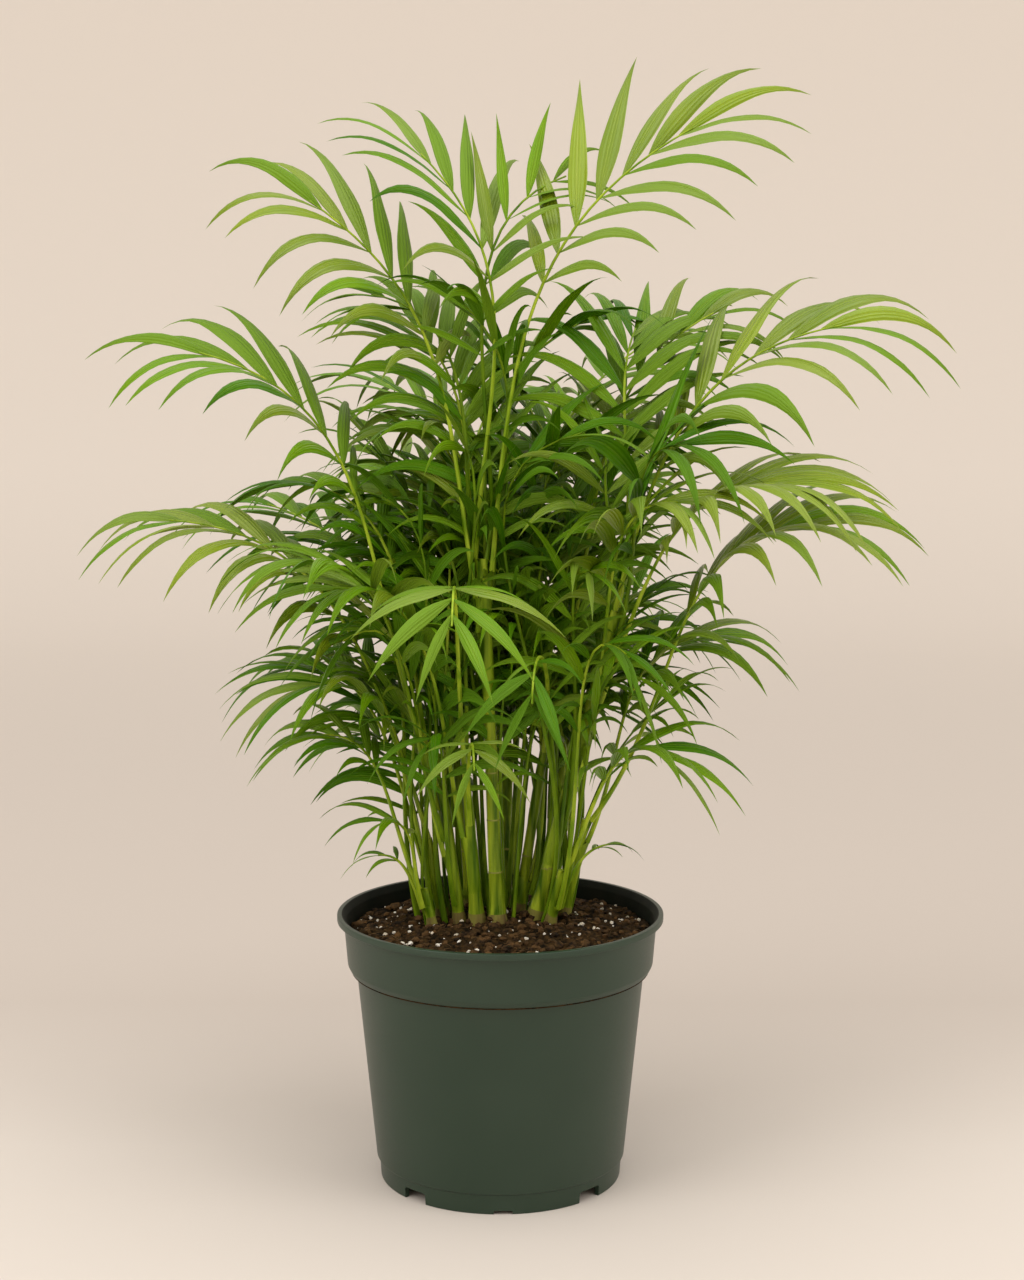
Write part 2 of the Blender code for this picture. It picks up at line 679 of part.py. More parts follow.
def make_frond(frond, spine, leaflets):
    """One closed body: the stalk and rib, with each leaflet drawn out of the rib's upper faces."""
    stalk = stalk_rings(spine, frond)
    bm = bmesh.new()
    points = [bm.verts.new(v) for v in stalk]
    rings = len(stalk) // 3
    left_out = set()
    for k in range(frond.pairs):
        for side in (1, -1):
            if (k, side) not in leaflets:
                continue
            root = root_quad(k, side)
            left_out.add(frozenset(root))
            leaf = leaflets[k, side]
            whole = leaf + [stalk[i] for i in root]
            leaf_points = [bm.verts.new(v) for v in leaf] + [points[i] for i in root]
            for face in split_faces(whole, whole_leaf_faces(frond.bends), side):
                bm.faces.new([leaf_points[i] for i in face])
    for face in ring_faces(rings, 3):
        if frozenset(face) not in left_out:
            bm.faces.new([points[i] for i in face])
    name = f"frond_{frond.name}"
    finish_object(name, bm, principled(name, FROND_GREEN), FROND_CREASE)


def tier_fronds(canes):
    """Deals out each storey's fronds over its canes, with seeded sizes."""
    dice = random.Random(TIER_SEED)
    fronds = []
    for tier in TIERS:
        for i in range(tier.count):
            cane = canes[tier.canes[i % len(tier.canes)]]
            low, high = SOIL_TOP_Z, cane.top[2]
            height = low + (high - low) * dice.uniform(*tier.share)
            if tier.leads and i < len(tier.canes):
                height = high
            first, last = tier.azimuths
            azimuth = first + (last - first) * (i + 0.5) / tier.count
            azimuth += dice.uniform(-TIER_AZIMUTH_PLAY, TIER_AZIMUTH_PLAY)
            fronds.append(Frond(
                f"{tier.name}_{i + 1}", cane.name, height, azimuth, dice.uniform(*tier.reach),
                dice.uniform(*tier.rise), dice.uniform(*TIER_LEAN), dice.uniform(*tier.slope),
                tier.blade, tier.pairs, dice.uniform(*tier.leaf), dice.uniform(*TIER_ROLL),
                TIER_DROOP, bends=2))
    return fronds


def clear_scene():
    """Removes the objects that the scene starts with."""
    for piece in list(bpy.data.objects):
        bpy.data.objects.remove(piece, do_unlink=True)


def main():
    clear_scene()
    make_pot()
    make_soil()
    canes = {cane.name: cane for cane in CANES}
    thicket = Thicket()
    for cane in CANES:
        make_cane(cane, thicket)
    placed = []
    for frond in list(FRONDS) + tier_fronds(canes):
        found = place_stalk(frond, canes, thicket)
        if found:
            placed.append(found)
    for frond, spine in placed:
        make_frond(frond, spine, grow_leaflets(frond, spine, thicket))


main()
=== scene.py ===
"""The looks of a potted parlour palm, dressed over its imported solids.

The pot, the potting mix, the canes and the fronds are built again at a finer scale, by the rule of
the part's source, and each piece stands for the solids that it covers. Lengths are in metres and
angles in degrees. +Z is up and -Y is the plant's front. Azimuths run from +X towards +Y.
"""

import logging
import math
import random
from collections.abc import Callable, Sequence
from dataclasses import dataclass, replace
from enum import Enum

import bmesh
import bpy
from mathutils import Matrix, Vector, noise


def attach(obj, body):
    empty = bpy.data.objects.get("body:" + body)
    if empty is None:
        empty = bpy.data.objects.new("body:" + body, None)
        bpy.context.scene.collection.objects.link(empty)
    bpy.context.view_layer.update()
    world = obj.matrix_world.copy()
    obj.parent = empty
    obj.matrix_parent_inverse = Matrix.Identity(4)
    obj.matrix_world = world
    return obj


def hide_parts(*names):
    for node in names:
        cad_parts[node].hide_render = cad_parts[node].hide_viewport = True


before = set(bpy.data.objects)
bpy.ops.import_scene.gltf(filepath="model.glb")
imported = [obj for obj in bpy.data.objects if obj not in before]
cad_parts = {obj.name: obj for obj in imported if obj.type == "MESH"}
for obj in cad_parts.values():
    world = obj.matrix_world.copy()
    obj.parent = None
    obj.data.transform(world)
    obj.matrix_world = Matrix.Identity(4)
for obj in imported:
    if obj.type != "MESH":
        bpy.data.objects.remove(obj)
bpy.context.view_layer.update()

LOG = logging.getLogger("parlour_palm")
BODY = "root"
UP = Vector((0.0, 0.0, 1.0))
MERGE = 1e-6

Colour = tuple[float, float, float]
Pairs = tuple[tuple[float, float], ...]
Place = Callable[[float, float], Vector]


class Slot(Enum):
    """The record's material slots."""

    POT = "pot"
    SOIL = "soil"
    CANE = "cane"
    FROND = "frond"


class Tone(Enum):
    """How old and how well lit a spray of leaflets is, and so its green."""

    DEEP = "deep"
    MIDDLE = "middle"
    FRESH = "fresh"
    YOUNG = "young"


def ramp(pairs: Pairs, x: float) -> float:
    """Reads a value from straight runs between given points.

    Args:
        pairs: The points, as (x, y), in rising order of x.
        x: Where to read.

    Returns:
        The value at x.
    """
    for (x0, y0), (x1, y1) in zip(pairs, pairs[1:]):
        if x <= x1:
            return y0 + (y1 - y0) * (x - x0) / (x1 - x0)
    return pairs[-1][1]


def heading(azimuth: float, elevation: float) -> Vector:
    """Gives the unit vector at an azimuth and an elevation."""
    a = math.radians(azimuth)
    e = math.radians(elevation)
    return Vector((math.cos(a) * math.cos(e), math.sin(a) * math.cos(e), math.sin(e)))


def lay_sheet(bm: bmesh.types.BMesh, across: int, along: int, place: Place) -> list[bmesh.types.BMVert]:
    """Makes a grid and moves each of its points to where it belongs.

    Args:
        bm: The mesh that the sheet joins.
        across: Faces across.
        along: Faces along.
        place: Gives a point's place from its share across and its share along.

    Returns:
        The sheet's points.
    """
    if not bm.loops.layers.uv:
        bm.loops.layers.uv.new("UVMap")
    made = bmesh.ops.create_grid(bm, x_segments=across, y_segments=along, size=0.5, calc_uvs=True)
    for vert in made["verts"]:
        vert.co = place(vert.co.x + 0.5, vert.co.y + 0.5)
    return made["verts"]


def finish_mesh(
    name: str,
    bm: bmesh.types.BMesh,
    materials: Sequence[bpy.types.Material],
    closed: bool = True,
    crease: float | None = 40.0,
) -> bpy.types.Object:
    """Makes a smooth-shaded object of a mesh and frees the mesh.

    Args:
        name: The object's name.
        bm: The mesh.
        materials: Its materials, in the order of its faces' slots.
        closed: Whether its faces are turned outwards.
        crease: The angle past which an edge stays sharp, or None to keep the mesh's own.

    Returns:
        The object, linked to the scene.
    """
    bmesh.ops.remove_doubles(bm, verts=bm.verts, dist=MERGE)
    bmesh.ops.dissolve_degenerate(bm, edges=bm.edges, dist=MERGE / 10)
    if closed:
        bmesh.ops.recalc_face_normals(bm, faces=bm.faces)
    mesh = bpy.data.meshes.new(name)
    bm.to_mesh(mesh)
    bm.free()
    for material in materials:
        mesh.materials.append(material)
    mesh.shade_smooth()
    if crease is not None:
        mesh.set_sharp_from_angle(angle=math.radians(crease))
    piece = bpy.data.objects.new(name, mesh)
    bpy.context.collection.objects.link(piece)
    return piece


def hand_over(piece: bpy.types.Object, slot: Slot, nodes: Sequence[str]) -> None:
    """Puts a finished piece on the plant's body in place of its solids, and reports it.

    Args:
        piece: The piece.
        slot: The record's slot that its finish belongs to; not used.
        nodes: The solids that it stands for.
    """
    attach(piece, BODY)
    if nodes:
        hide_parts(*nodes)
    LOG.info("%s: %d faces, for %d solids", piece.name, len(piece.data.polygons), len(nodes))


class Nodes:
    """A material's node tree, with short ways to add to it and join it up."""

    def __init__(self, tree: bpy.types.NodeTree) -> None:
        """Starts on an existing tree."""
        self.tree = tree

    def add(self, kind: str, **settings: object) -> bpy.types.Node:
        """Adds a node and sets its properties.

        Args:
            kind: The node's type, without the leading ShaderNode.
            settings: Its properties by name.

        Returns:
            The node.
        """
        node = self.tree.nodes.new(f"ShaderNode{kind}")
        for key, value in settings.items():
            setattr(node, key, value)
        return node

    def join(self, source: bpy.types.NodeSocket, target: bpy.types.NodeSocket) -> None:
        """Links two sockets."""
        self.tree.links.new(source, target)

    def maths(
        self,
        operation: str,
        first: bpy.types.NodeSocket | float,
        second: bpy.types.NodeSocket | float = 0.0,
    ) -> bpy.types.NodeSocket:
        """Adds a sum of two values.

        Args:
            operation: The Math node's operation.
            first: A socket or a number.
            second: A socket or a number.

        Returns:
            The result's socket.
        """
        node = self.add("Math", operation=operation)
        for socket, value in zip(node.inputs, (first, second)):
            if isinstance(value, bpy.types.NodeSocket):
                self.join(value, socket)
            else:
                socket.default_value = value
        return node.outputs[0]

    def noise(
        self,
        coordinates: bpy.types.NodeSocket,
        scale: float,
        detail: float,
        stretch: tuple[float, float, float] = (1.0, 1.0, 1.0),
    ) -> bpy.types.NodeSocket:
        """Adds a noise pattern.

        Args:
            coordinates: What the pattern follows.
            scale: Its scale.
            detail: Its detail.
            stretch: How much finer it is along each axis.

        Returns:
            The noise value's socket.
        """
        mapping = self.add("Mapping")
        mapping.inputs["Scale"].default_value = stretch
        self.join(coordinates, mapping.inputs["Vector"])
        node = self.add("TexNoise")
        node.inputs["Scale"].default_value = scale
        node.inputs["Detail"].default_value = detail
        self.join(mapping.outputs["Vector"], node.inputs["Vector"])
        return node.outputs["Fac"]

    def between(
        self,
        value: bpy.types.NodeSocket,
        low: float,
        high: float,
        start: float = 0.0,
        end: float = 1.0,
    ) -> bpy.types.NodeSocket:
        """Spreads the stretch from low to high of a value over start to end, clamped."""
        node = self.add("MapRange")
        for name, number in zip(("From Min", "From Max", "To Min", "To Max"), (low, high, start, end)):
            node.inputs[name].default_value = number
        self.join(value, node.inputs["Value"])
        return node.outputs["Result"]

    def mixed(
        self,
        factor: bpy.types.NodeSocket,
        first: bpy.types.NodeSocket | Colour,
        second: bpy.types.NodeSocket | Colour,
    ) -> bpy.types.NodeSocket:
        """Mixes two colours.

        Args:
            factor: The second colour's share.
            first: A colour or its socket.
            second: A colour or its socket.

        Returns:
            The mixed colour's socket.
        """
        node = self.add("Mix", data_type="RGBA")
        self.join(factor, node.inputs[0])
        for socket, value in zip((node.inputs[6], node.inputs[7]), (first, second)):
            if isinstance(value, bpy.types.NodeSocket):
                self.join(value, socket)
            else:
                socket.default_value = (*value, 1.0)
        return node.outputs[2]

    def bump(self, height: bpy.types.NodeSocket, strength: float, distance: float) -> bpy.types.NodeSocket:
        """Adds a bump and gives its normal."""
        node = self.add("Bump")
        node.inputs["Strength"].default_value = strength
        node.inputs["Distance"].default_value = distance
        self.join(height, node.inputs["Height"])
        return node.outputs["Normal"]


def shader_group(name: str, inputs: dict[str, float], outputs: dict[str, str]) -> tuple[
    bpy.types.NodeTree, Nodes, bpy.types.Node, bpy.types.Node
]:
    """Starts a shader node group.

    Args:
        name: The group's name.
        inputs: Its number inputs, with their first values.
        outputs: Its outputs, with their socket types.

    Returns:
        The group, its nodes, its input node and its output node.
    """
    tree = bpy.data.node_groups.new(name, "ShaderNodeTree")
    for key, value in inputs.items():
        socket = tree.interface.new_socket(name=key, in_out="INPUT", socket_type="NodeSocketFloat")
        socket.default_value = value
    for key, kind in outputs.items():
        tree.interface.new_socket(name=key, in_out="OUTPUT", socket_type=kind)
    nodes = Nodes(tree)
    return tree, nodes, tree.nodes.new("NodeGroupInput"), tree.nodes.new("NodeGroupOutput")


class Effects:
    """The shader node groups that several materials share, each built once."""

    STREAK_SCALE = 9.0
    STREAK_STRETCH = (0.9, 0.12, 1.0)
    STREAK_EDGE = (0.30, 0.70)
    RIDGE_SHARE = 0.5
    GROOVE = -1.5
    MIDRIB_CORE = 0.35
    # Painted light: the rim mask marks the blade's edges, which are painted paler as if light shone through
    # the thin leaf.
    LIT_RIM_EDGE = (0.465, 0.5)

    _made: dict[str, bpy.types.NodeTree] = {}

    @classmethod
    def veins(cls) -> bpy.types.NodeTree:
        """Fine ridges along a leaflet, its midrib and its edges for a rim of painted light, read from its own
        UV map.
        """
        if "leaf_veins" not in cls._made:
            tree, nodes, source, sink = shader_group(
                "leaf_veins",
                {"Ridges": 5.0, "Midrib": 0.07},
                {name: "NodeSocketFloat" for name in ("Height", "Midrib", "Lit rim", "Streaks")},
            )
            coordinates = nodes.add("TexCoord")
            split = nodes.add("SeparateXYZ")
            nodes.join(coordinates.outputs["UV"], split.inputs[0])
            across = split.outputs["X"]
            turns = nodes.maths("MULTIPLY", across, source.outputs["Ridges"])
            ridges = nodes.maths("SINE", nodes.maths("MULTIPLY", turns, math.tau))
            streaks = nodes.noise(coordinates.outputs["UV"], cls.STREAK_SCALE, 2.0, cls.STREAK_STRETCH)
            off_centre = nodes.maths("ABSOLUTE", nodes.maths("SUBTRACT", across, 0.5))
            share = nodes.maths("DIVIDE", off_centre, source.outputs["Midrib"])
            midrib = nodes.between(share, 1.0, cls.MIDRIB_CORE)
            height = nodes.maths("ADD", nodes.maths("MULTIPLY", ridges, cls.RIDGE_SHARE), streaks)
            groove = nodes.maths("MULTIPLY", midrib, cls.GROOVE)
            nodes.join(nodes.maths("ADD", height, groove), sink.inputs["Height"])
            nodes.join(midrib, sink.inputs["Midrib"])
            nodes.join(nodes.between(streaks, *cls.STREAK_EDGE), sink.inputs["Streaks"])
            nodes.join(nodes.between(off_centre, *cls.LIT_RIM_EDGE), sink.inputs["Lit rim"])
            cls._made["leaf_veins"] = tree
        return cls._made["leaf_veins"]

    @classmethod
    def mottle(cls) -> bpy.types.NodeTree:
        """Soft patches and fine grain on Object coordinates."""
        if "mottle" not in cls._made:
            tree, nodes, source, sink = shader_group(
                "mottle",
                {"Patch scale": 20.0, "Grain scale": 900.0, "Stretch": 1.0},
                {"Patches": "NodeSocketFloat", "Grain": "NodeSocketFloat"},
            )
            coordinates = nodes.add("TexCoord").outputs["Object"]
            stretch = nodes.add("CombineXYZ")
            stretch.inputs["X"].default_value = 1.0
            stretch.inputs["Y"].default_value = 1.0
            nodes.join(source.outputs["Stretch"], stretch.inputs["Z"])
            drawn = nodes.add("VectorMath", operation="MULTIPLY")
            nodes.join(coordinates, drawn.inputs[0])
            nodes.join(stretch.outputs[0], drawn.inputs[1])
            for output, scale, detail in (("Patches", "Patch scale", 2.0), ("Grain", "Grain scale", 3.0)):
                pattern = nodes.add("TexNoise")
                pattern.inputs["Detail"].default_value = detail
                nodes.join(source.outputs[scale], pattern.inputs["Scale"])
                nodes.join(drawn.outputs[0], pattern.inputs["Vector"])
                nodes.join(pattern.outputs["Fac"], sink.inputs[output])
            cls._made["mottle"] = tree
        return cls._made["mottle"]


@dataclass(frozen=True)
class Finish:
    """A surface with two near colours in soft patches, and a fine grain that varies its roughness and gives
    it a fine relief.
    """

    name: str
    base: Colour
    patch: Colour
    roughness: float
    patch_scale: float = 30.0
    grain_scale: float = 900.0
    stretch: float = 1.0
    relief: float = 0.15
    relief_depth: float = 0.0002
    specular: float = 0.2
    sheen: Colour = (1.0, 1.0, 1.0)

    PATCH_EDGE = (0.35, 0.65)
    GRAIN_EDGE = (0.3, 0.7)
    ROUGHNESS_PLAY = 0.05

    def dressed(self) -> tuple[bpy.types.Material, Nodes, bpy.types.Node, bpy.types.Node]:
        """Starts the material.

        Returns:
            The material, its nodes, its shader and its mottle group's node.
        """
        material = bpy.data.materials.new(self.name)
        material.use_nodes = True
        nodes = Nodes(material.node_tree)
        shader = material.node_tree.nodes["Principled BSDF"]
        shader.inputs["Specular IOR Level"].default_value = self.specular
        shader.inputs["Specular Tint"].default_value = (*self.sheen, 1.0)
        mottle = nodes.add("Group", node_tree=Effects.mottle())
        mottle.inputs["Patch scale"].default_value = self.patch_scale
        mottle.inputs["Grain scale"].default_value = self.grain_scale
        mottle.inputs["Stretch"].default_value = self.stretch
        return material, nodes, shader, mottle

    def material(self) -> bpy.types.Material:
        """Builds the material."""
        material, nodes, shader, mottle = self.dressed()
        patches = nodes.between(mottle.outputs["Patches"], *self.PATCH_EDGE)
        nodes.join(nodes.mixed(patches, self.base, self.patch), shader.inputs["Base Color"])
        smoothest, roughest = self.roughness - self.ROUGHNESS_PLAY, self.roughness + self.ROUGHNESS_PLAY
        rough = nodes.between(mottle.outputs["Grain"], *self.GRAIN_EDGE, smoothest, roughest)
        nodes.join(rough, shader.inputs["Roughness"])
        normal = nodes.bump(mottle.outputs["Grain"], self.relief, self.relief_depth)
        nodes.join(normal, shader.inputs["Normal"])
        return material


GREEN_SHEEN = (0.90, 1.0, 0.45)
PALE_SHEEN = (0.97, 1.0, 0.70)


@dataclass(frozen=True)
class LeafFinish(Finish):
    """A leaflet's satin upper side with veins, a pale midrib and a rim of painted light, and its duller
    underside.
    """

    patch_scale: float = 14.0
    relief: float = 0.55
    relief_depth: float = 0.0006
    sheen: Colour = GREEN_SHEEN
    under: Colour = (0.1, 0.2, 0.03)
    # The pale colour of the midrib, and of the edges, where it is painted light shining through them.
    midrib_and_lit_rim: Colour = (0.2, 0.3, 0.04)

    MIDRIB_SHARE = 0.35
    # How far the edges are painted paler, as painted light shining through them.
    LIT_RIM_SHARE = 0.35
    UNDER_ROUGHER = 0.15

    def material(self) -> bpy.types.Material:
        """Builds the material."""
        material, nodes, shader, mottle = self.dressed()
        veins = nodes.add("Group", node_tree=Effects.veins())
        patches = nodes.between(mottle.outputs["Patches"], *self.PATCH_EDGE)
        drawn = nodes.maths("MULTIPLY", nodes.maths("ADD", patches, veins.outputs["Streaks"]), 0.5)
        upper = nodes.mixed(drawn, self.base, self.patch)
        line = nodes.maths("MULTIPLY", veins.outputs["Midrib"], self.MIDRIB_SHARE)
        # Painted light: the edges take the paler colour, as if lit through from behind.
        rim = nodes.maths("MULTIPLY", veins.outputs["Lit rim"], self.LIT_RIM_SHARE)
        upper = nodes.mixed(nodes.maths("MAXIMUM", line, rim), upper, self.midrib_and_lit_rim)
        behind = nodes.add("NewGeometry").outputs["Backfacing"]
        nodes.join(nodes.mixed(behind, upper, self.under), shader.inputs["Base Color"])
        rougher = nodes.maths("MULTIPLY", behind, self.UNDER_ROUGHER)
        rough = nodes.maths("ADD", rougher, self.roughness)
        nodes.join(rough, shader.inputs["Roughness"])
        normal = nodes.bump(veins.outputs["Height"], self.relief, self.relief_depth)
        nodes.join(normal, shader.inputs["Normal"])
        return material


POT_PLASTIC = Finish(
    "pot_plastic", (0.013, 0.034, 0.017), (0.018, 0.040, 0.022), 0.40,
    patch_scale=9.0, grain_scale=1400.0, relief=0.10, relief_depth=0.0001, specular=0.45,
)
# The inner wall's finish: near-black, rougher and less glossy than the outside; its dark colour is painted
# shade down inside the pot.
POT_INSIDE_PAINTED_SHADE = Finish(
    "pot_inside_painted_shade", (0.006, 0.010, 0.006), (0.012, 0.014, 0.009), 0.65,
    patch_scale=60.0, grain_scale=1400.0, relief=0.20, specular=0.15,
)
MIX_PEAT = Finish(
    "peat", (0.008, 0.005, 0.002), (0.058, 0.031, 0.010), 0.92,
    patch_scale=170.0, relief=0.9, relief_depth=0.0014, specular=0.1,
)
BARK_CRUMB = Finish(
    "bark_crumb", (0.012, 0.007, 0.003), (0.115, 0.060, 0.021), 0.85,
    patch_scale=120.0, relief=0.5, relief_depth=0.0006, specular=0.15,
)
FIBRE = Finish(
    "fibre", (0.190, 0.115, 0.048), (0.085, 0.048, 0.020), 0.85,
    patch_scale=200.0, relief=0.4, relief_depth=0.0003, specular=0.15,
)
PERLITE = Finish(
    "perlite", (0.900, 0.860, 0.780), (0.660, 0.580, 0.450), 0.80,
    patch_scale=300.0, grain_scale=1600.0, relief=0.5, relief_depth=0.0003, specular=0.3,
)
# Dark base and bright streaks along the canes: partly the skin's own streaks, partly painted highlight and
# shade for their round form.
CANE_SKIN = Finish(
    "cane_skin", (0.040, 0.100, 0.001), (0.340, 0.440, 0.022), 0.30,
    patch_scale=170.0, grain_scale=700.0, stretch=0.06, relief=0.30, specular=0.35, sheen=GREEN_SHEEN,
)
CANE_SCAR = Finish(
    "cane_scar", (0.190, 0.210, 0.030), (0.270, 0.280, 0.060), 0.60, patch_scale=120.0, relief=0.4
)
CANE_FOOT = Finish(
    "cane_foot", (0.230, 0.220, 0.040), (0.130, 0.090, 0.030), 0.70,
    patch_scale=150.0, grain_scale=800.0, stretch=0.25, relief=0.5, relief_depth=0.0003,
)
SHEATH = Finish(
    "sheath", (0.045, 0.110, 0.002), (0.250, 0.360, 0.014), 0.34,
    patch_scale=170.0, grain_scale=800.0, stretch=0.06, relief=0.35, specular=0.3, sheen=GREEN_SHEEN,
)
STALK = Finish(
    "stalk", (0.130, 0.240, 0.004), (0.370, 0.485, 0.030), 0.32,
    patch_scale=90.0, grain_scale=600.0, stretch=0.3, relief=0.2, relief_depth=0.0001, specular=0.3,
    sheen=GREEN_SHEEN,
)
STALK_SHADED = replace(
    STALK, name="stalk_shaded", base=(0.050, 0.120, 0.002), patch=(0.165, 0.265, 0.008), roughness=0.36,
    specular=0.2,
)
LEAVES = {
    Tone.DEEP: LeafFinish(
        "leaf_deep", (0.030, 0.122, 0.001), (0.094, 0.238, 0.002), 0.32, specular=0.24,
        under=(0.080, 0.190, 0.005), midrib_and_lit_rim=(0.130, 0.240, 0.008),
    ),
    Tone.MIDDLE: LeafFinish(
        "leaf_middle", (0.072, 0.188, 0.001), (0.172, 0.325, 0.004), 0.30, specular=0.34,
        under=(0.125, 0.240, 0.008), midrib_and_lit_rim=(0.210, 0.330, 0.014),
    ),
    Tone.FRESH: LeafFinish(
        "leaf_fresh", (0.104, 0.192, 0.003), (0.205, 0.282, 0.012), 0.28, specular=0.50,
        sheen=PALE_SHEEN, under=(0.158, 0.262, 0.012), midrib_and_lit_rim=(0.250, 0.350, 0.018),
    ),
    Tone.YOUNG: LeafFinish(
        "leaf_young", (0.140, 0.238, 0.003), (0.262, 0.352, 0.012), 0.28, specular=0.50,
        sheen=PALE_SHEEN, under=(0.205, 0.290, 0.020), midrib_and_lit_rim=(0.310, 0.385, 0.026),
    ),
}


def bake_modifiers(piece: bpy.types.Object) -> None:
    """Puts the result of a piece's modifiers into its mesh."""
    graph = bpy.context.evaluated_depsgraph_get()
    mesh = bpy.data.meshes.new_from_object(piece.evaluated_get(graph))
    piece.modifiers.clear()
    piece.data = mesh


@dataclass
class Pot:
    """The round nursery pot: foot ring, tapering body, stepped collar and flared lip."""

    height: float = 0.2095
    rim_radius: float = 0.127
    rim_height: float = 0.005
    rim_lip: float = 0.0042
    collar_top_radius: float = 0.1218
    collar_foot_radius: float = 0.1190
    collar_foot_z: float = 0.1705
    collar_step: float = 0.0022
    body_top_radius: float = 0.1120
    body_top_z: float = 0.1640
    body_foot_radius: float = 0.0973
    body_foot_z: float = 0.0165
    foot_radius: float = 0.0952
    foot_ring_width: float = 0.0038
    channel_depth: float = 0.0095
    channel_inner_radius: float = 0.060
    wall: float = 0.0020
    floor_thickness: float = 0.0024
    turn_steps: int = 144
    edge_round: float = 0.0007
    notches: int = 8
    deep_notch: tuple[float, float] = (0.022, 0.009)
    shallow_notch: tuple[float, float] = (0.0145, 0.003)
    notch_depth: float = 0.012
    notch_round: float = 0.0022
    notch_turn: float = 1.5
    rim_round: float = 0.0005
    foot_edge: float = 0.0010
    foot_step: float = 0.0012
    ring_draft: float = 0.0008
    channel_draft: float = 0.0010
    inner_step: float = 0.0015
    ring_crease: float = 12.0
    crease: float = 30.0

    def profile(self) -> list[tuple[float, float]]:
        """Gives the wall's outline as (radius, height), from the underside's centre to the floor's."""
        ring_inner = self.foot_radius - self.ring_draft - self.foot_ring_width
        floor = self.channel_depth + self.floor_thickness
        step = self.channel_inner_radius - self.inner_step
        return [
            (0.0, 0.0),
            (self.channel_inner_radius - self.channel_draft, 0.0),
            (self.channel_inner_radius, self.channel_depth),
            (ring_inner - self.channel_draft, self.channel_depth),
            (ring_inner, 0.0),
            (self.foot_radius - self.foot_edge, 0.0),
            (self.foot_radius, self.body_foot_z - self.foot_step),
            (self.body_foot_radius, self.body_foot_z),
            (self.body_top_radius, self.body_top_z),
            (self.collar_foot_radius - self.collar_step, self.body_top_z + self.collar_step),
            (self.collar_foot_radius, self.collar_foot_z),
            (self.collar_top_radius, self.height - self.rim_height - self.rim_round),
            (self.rim_radius, self.height - self.rim_height),
            (self.rim_radius, self.height),
            (self.rim_radius - self.rim_lip, self.height),
            (self.collar_top_radius - self.wall, self.height - self.rim_height),
            (self.collar_foot_radius - self.wall, self.collar_foot_z + self.inner_step),
            (self.body_top_radius - self.wall, self.body_top_z + self.inner_step),
            (self.foot_radius - self.wall, floor),
            (step, floor),
            (step - self.channel_draft, self.floor_thickness),
            (0.0, self.floor_thickness),
        ]

    def shell(self) -> bmesh.types.BMesh:
        """Turns the outline about the pot's axis and rounds its edges."""
        bm = bmesh.new()
        verts = [bm.verts.new((radius, 0.0, z)) for radius, z in self.profile()]
        edges = [bm.edges.new(pair) for pair in zip(verts, verts[1:])]
        bmesh.ops.spin(
            bm, geom=verts + edges, cent=(0, 0, 0), axis=(0, 0, 1), angle=math.tau,
            steps=self.turn_steps, use_merge=True, use_duplicate=False,
        )
        bmesh.ops.remove_doubles(bm, verts=bm.verts, dist=MERGE)
        bmesh.ops.recalc_face_normals(bm, faces=bm.faces)
        rings = [
            edge for edge in bm.edges
            if abs(edge.verts[0].co.z - edge.verts[1].co.z) < MERGE
            and abs(edge.verts[0].co.xy.length - edge.verts[1].co.xy.length) < MERGE
            and edge.calc_face_angle(0.0) > math.radians(self.ring_crease)
        ]
        bmesh.ops.bevel(
            bm, geom=rings, offset=self.edge_round, offset_type="OFFSET", affect="EDGES",
            segments=3, profile=0.5, material=-1, clamp_overlap=True,
        )
        return bm

    def notch(self, index: int) -> bpy.types.Object:
        """Makes the block that cuts one notch out of the foot.

        Args:
            index: The notch's number round the foot.

        Returns:
            The block, not linked to the scene's own collection.
        """
        width, height = self.deep_notch if index % 2 else self.shallow_notch
        round_off = min(self.notch_round, height / 2)
        bm = bmesh.new()
        bmesh.ops.create_cube(bm, size=1.0)
        bmesh.ops.scale(bm, vec=(self.notch_depth, width, height * 2), verts=bm.verts)
        corners = [
            edge for edge in bm.edges
            if all(vert.co.z > 0 for vert in edge.verts)
            and abs(edge.verts[0].co.y - edge.verts[1].co.y) < MERGE
        ]
        bmesh.ops.bevel(
            bm, geom=corners, offset=round_off, offset_type="OFFSET", affect="EDGES",
            segments=4, profile=0.5, material=-1,
        )
        azimuth = 360.0 / self.notches * index - 90.0 + self.notch_turn
        turn = Matrix.Rotation(math.radians(azimuth), 3, "Z")
        bmesh.ops.translate(bm, vec=(self.foot_radius, 0, 0), verts=bm.verts)
        bmesh.ops.rotate(bm, cent=(0, 0, 0), matrix=turn, verts=bm.verts)
        return finish_mesh(f"notch_{index}", bm, [])

    def build(self) -> None:
        """Makes the pot, cuts its notches and hands it over."""
        finishes = [POT_PLASTIC.material(), POT_INSIDE_PAINTED_SHADE.material()]
        pot = finish_mesh("pot_shell", self.shell(), finishes, crease=self.crease)
        cutters = [self.notch(index) for index in range(self.notches)]
        for cutter in cutters:
            cut = pot.modifiers.new("notch", "BOOLEAN")
            cut.operation = "DIFFERENCE"
            cut.object = cutter
            cut.solver = "EXACT"
        bake_modifiers(pot)
        for cutter in cutters:
            bpy.data.objects.remove(cutter, do_unlink=True)
        pot.data.set_sharp_from_angle(angle=math.radians(self.crease))
        # Faces of the inner wall take the inside finish, with its painted shade.
        for face in pot.data.polygons:
            inwards = face.normal.dot(Vector((face.center.x, face.center.y, 0.0))) < 0.0
            if inwards and face.center.z > self.channel_depth + self.floor_thickness:
                face.material_index = 1
        hand_over(pot, Slot.POT, ["pot"])


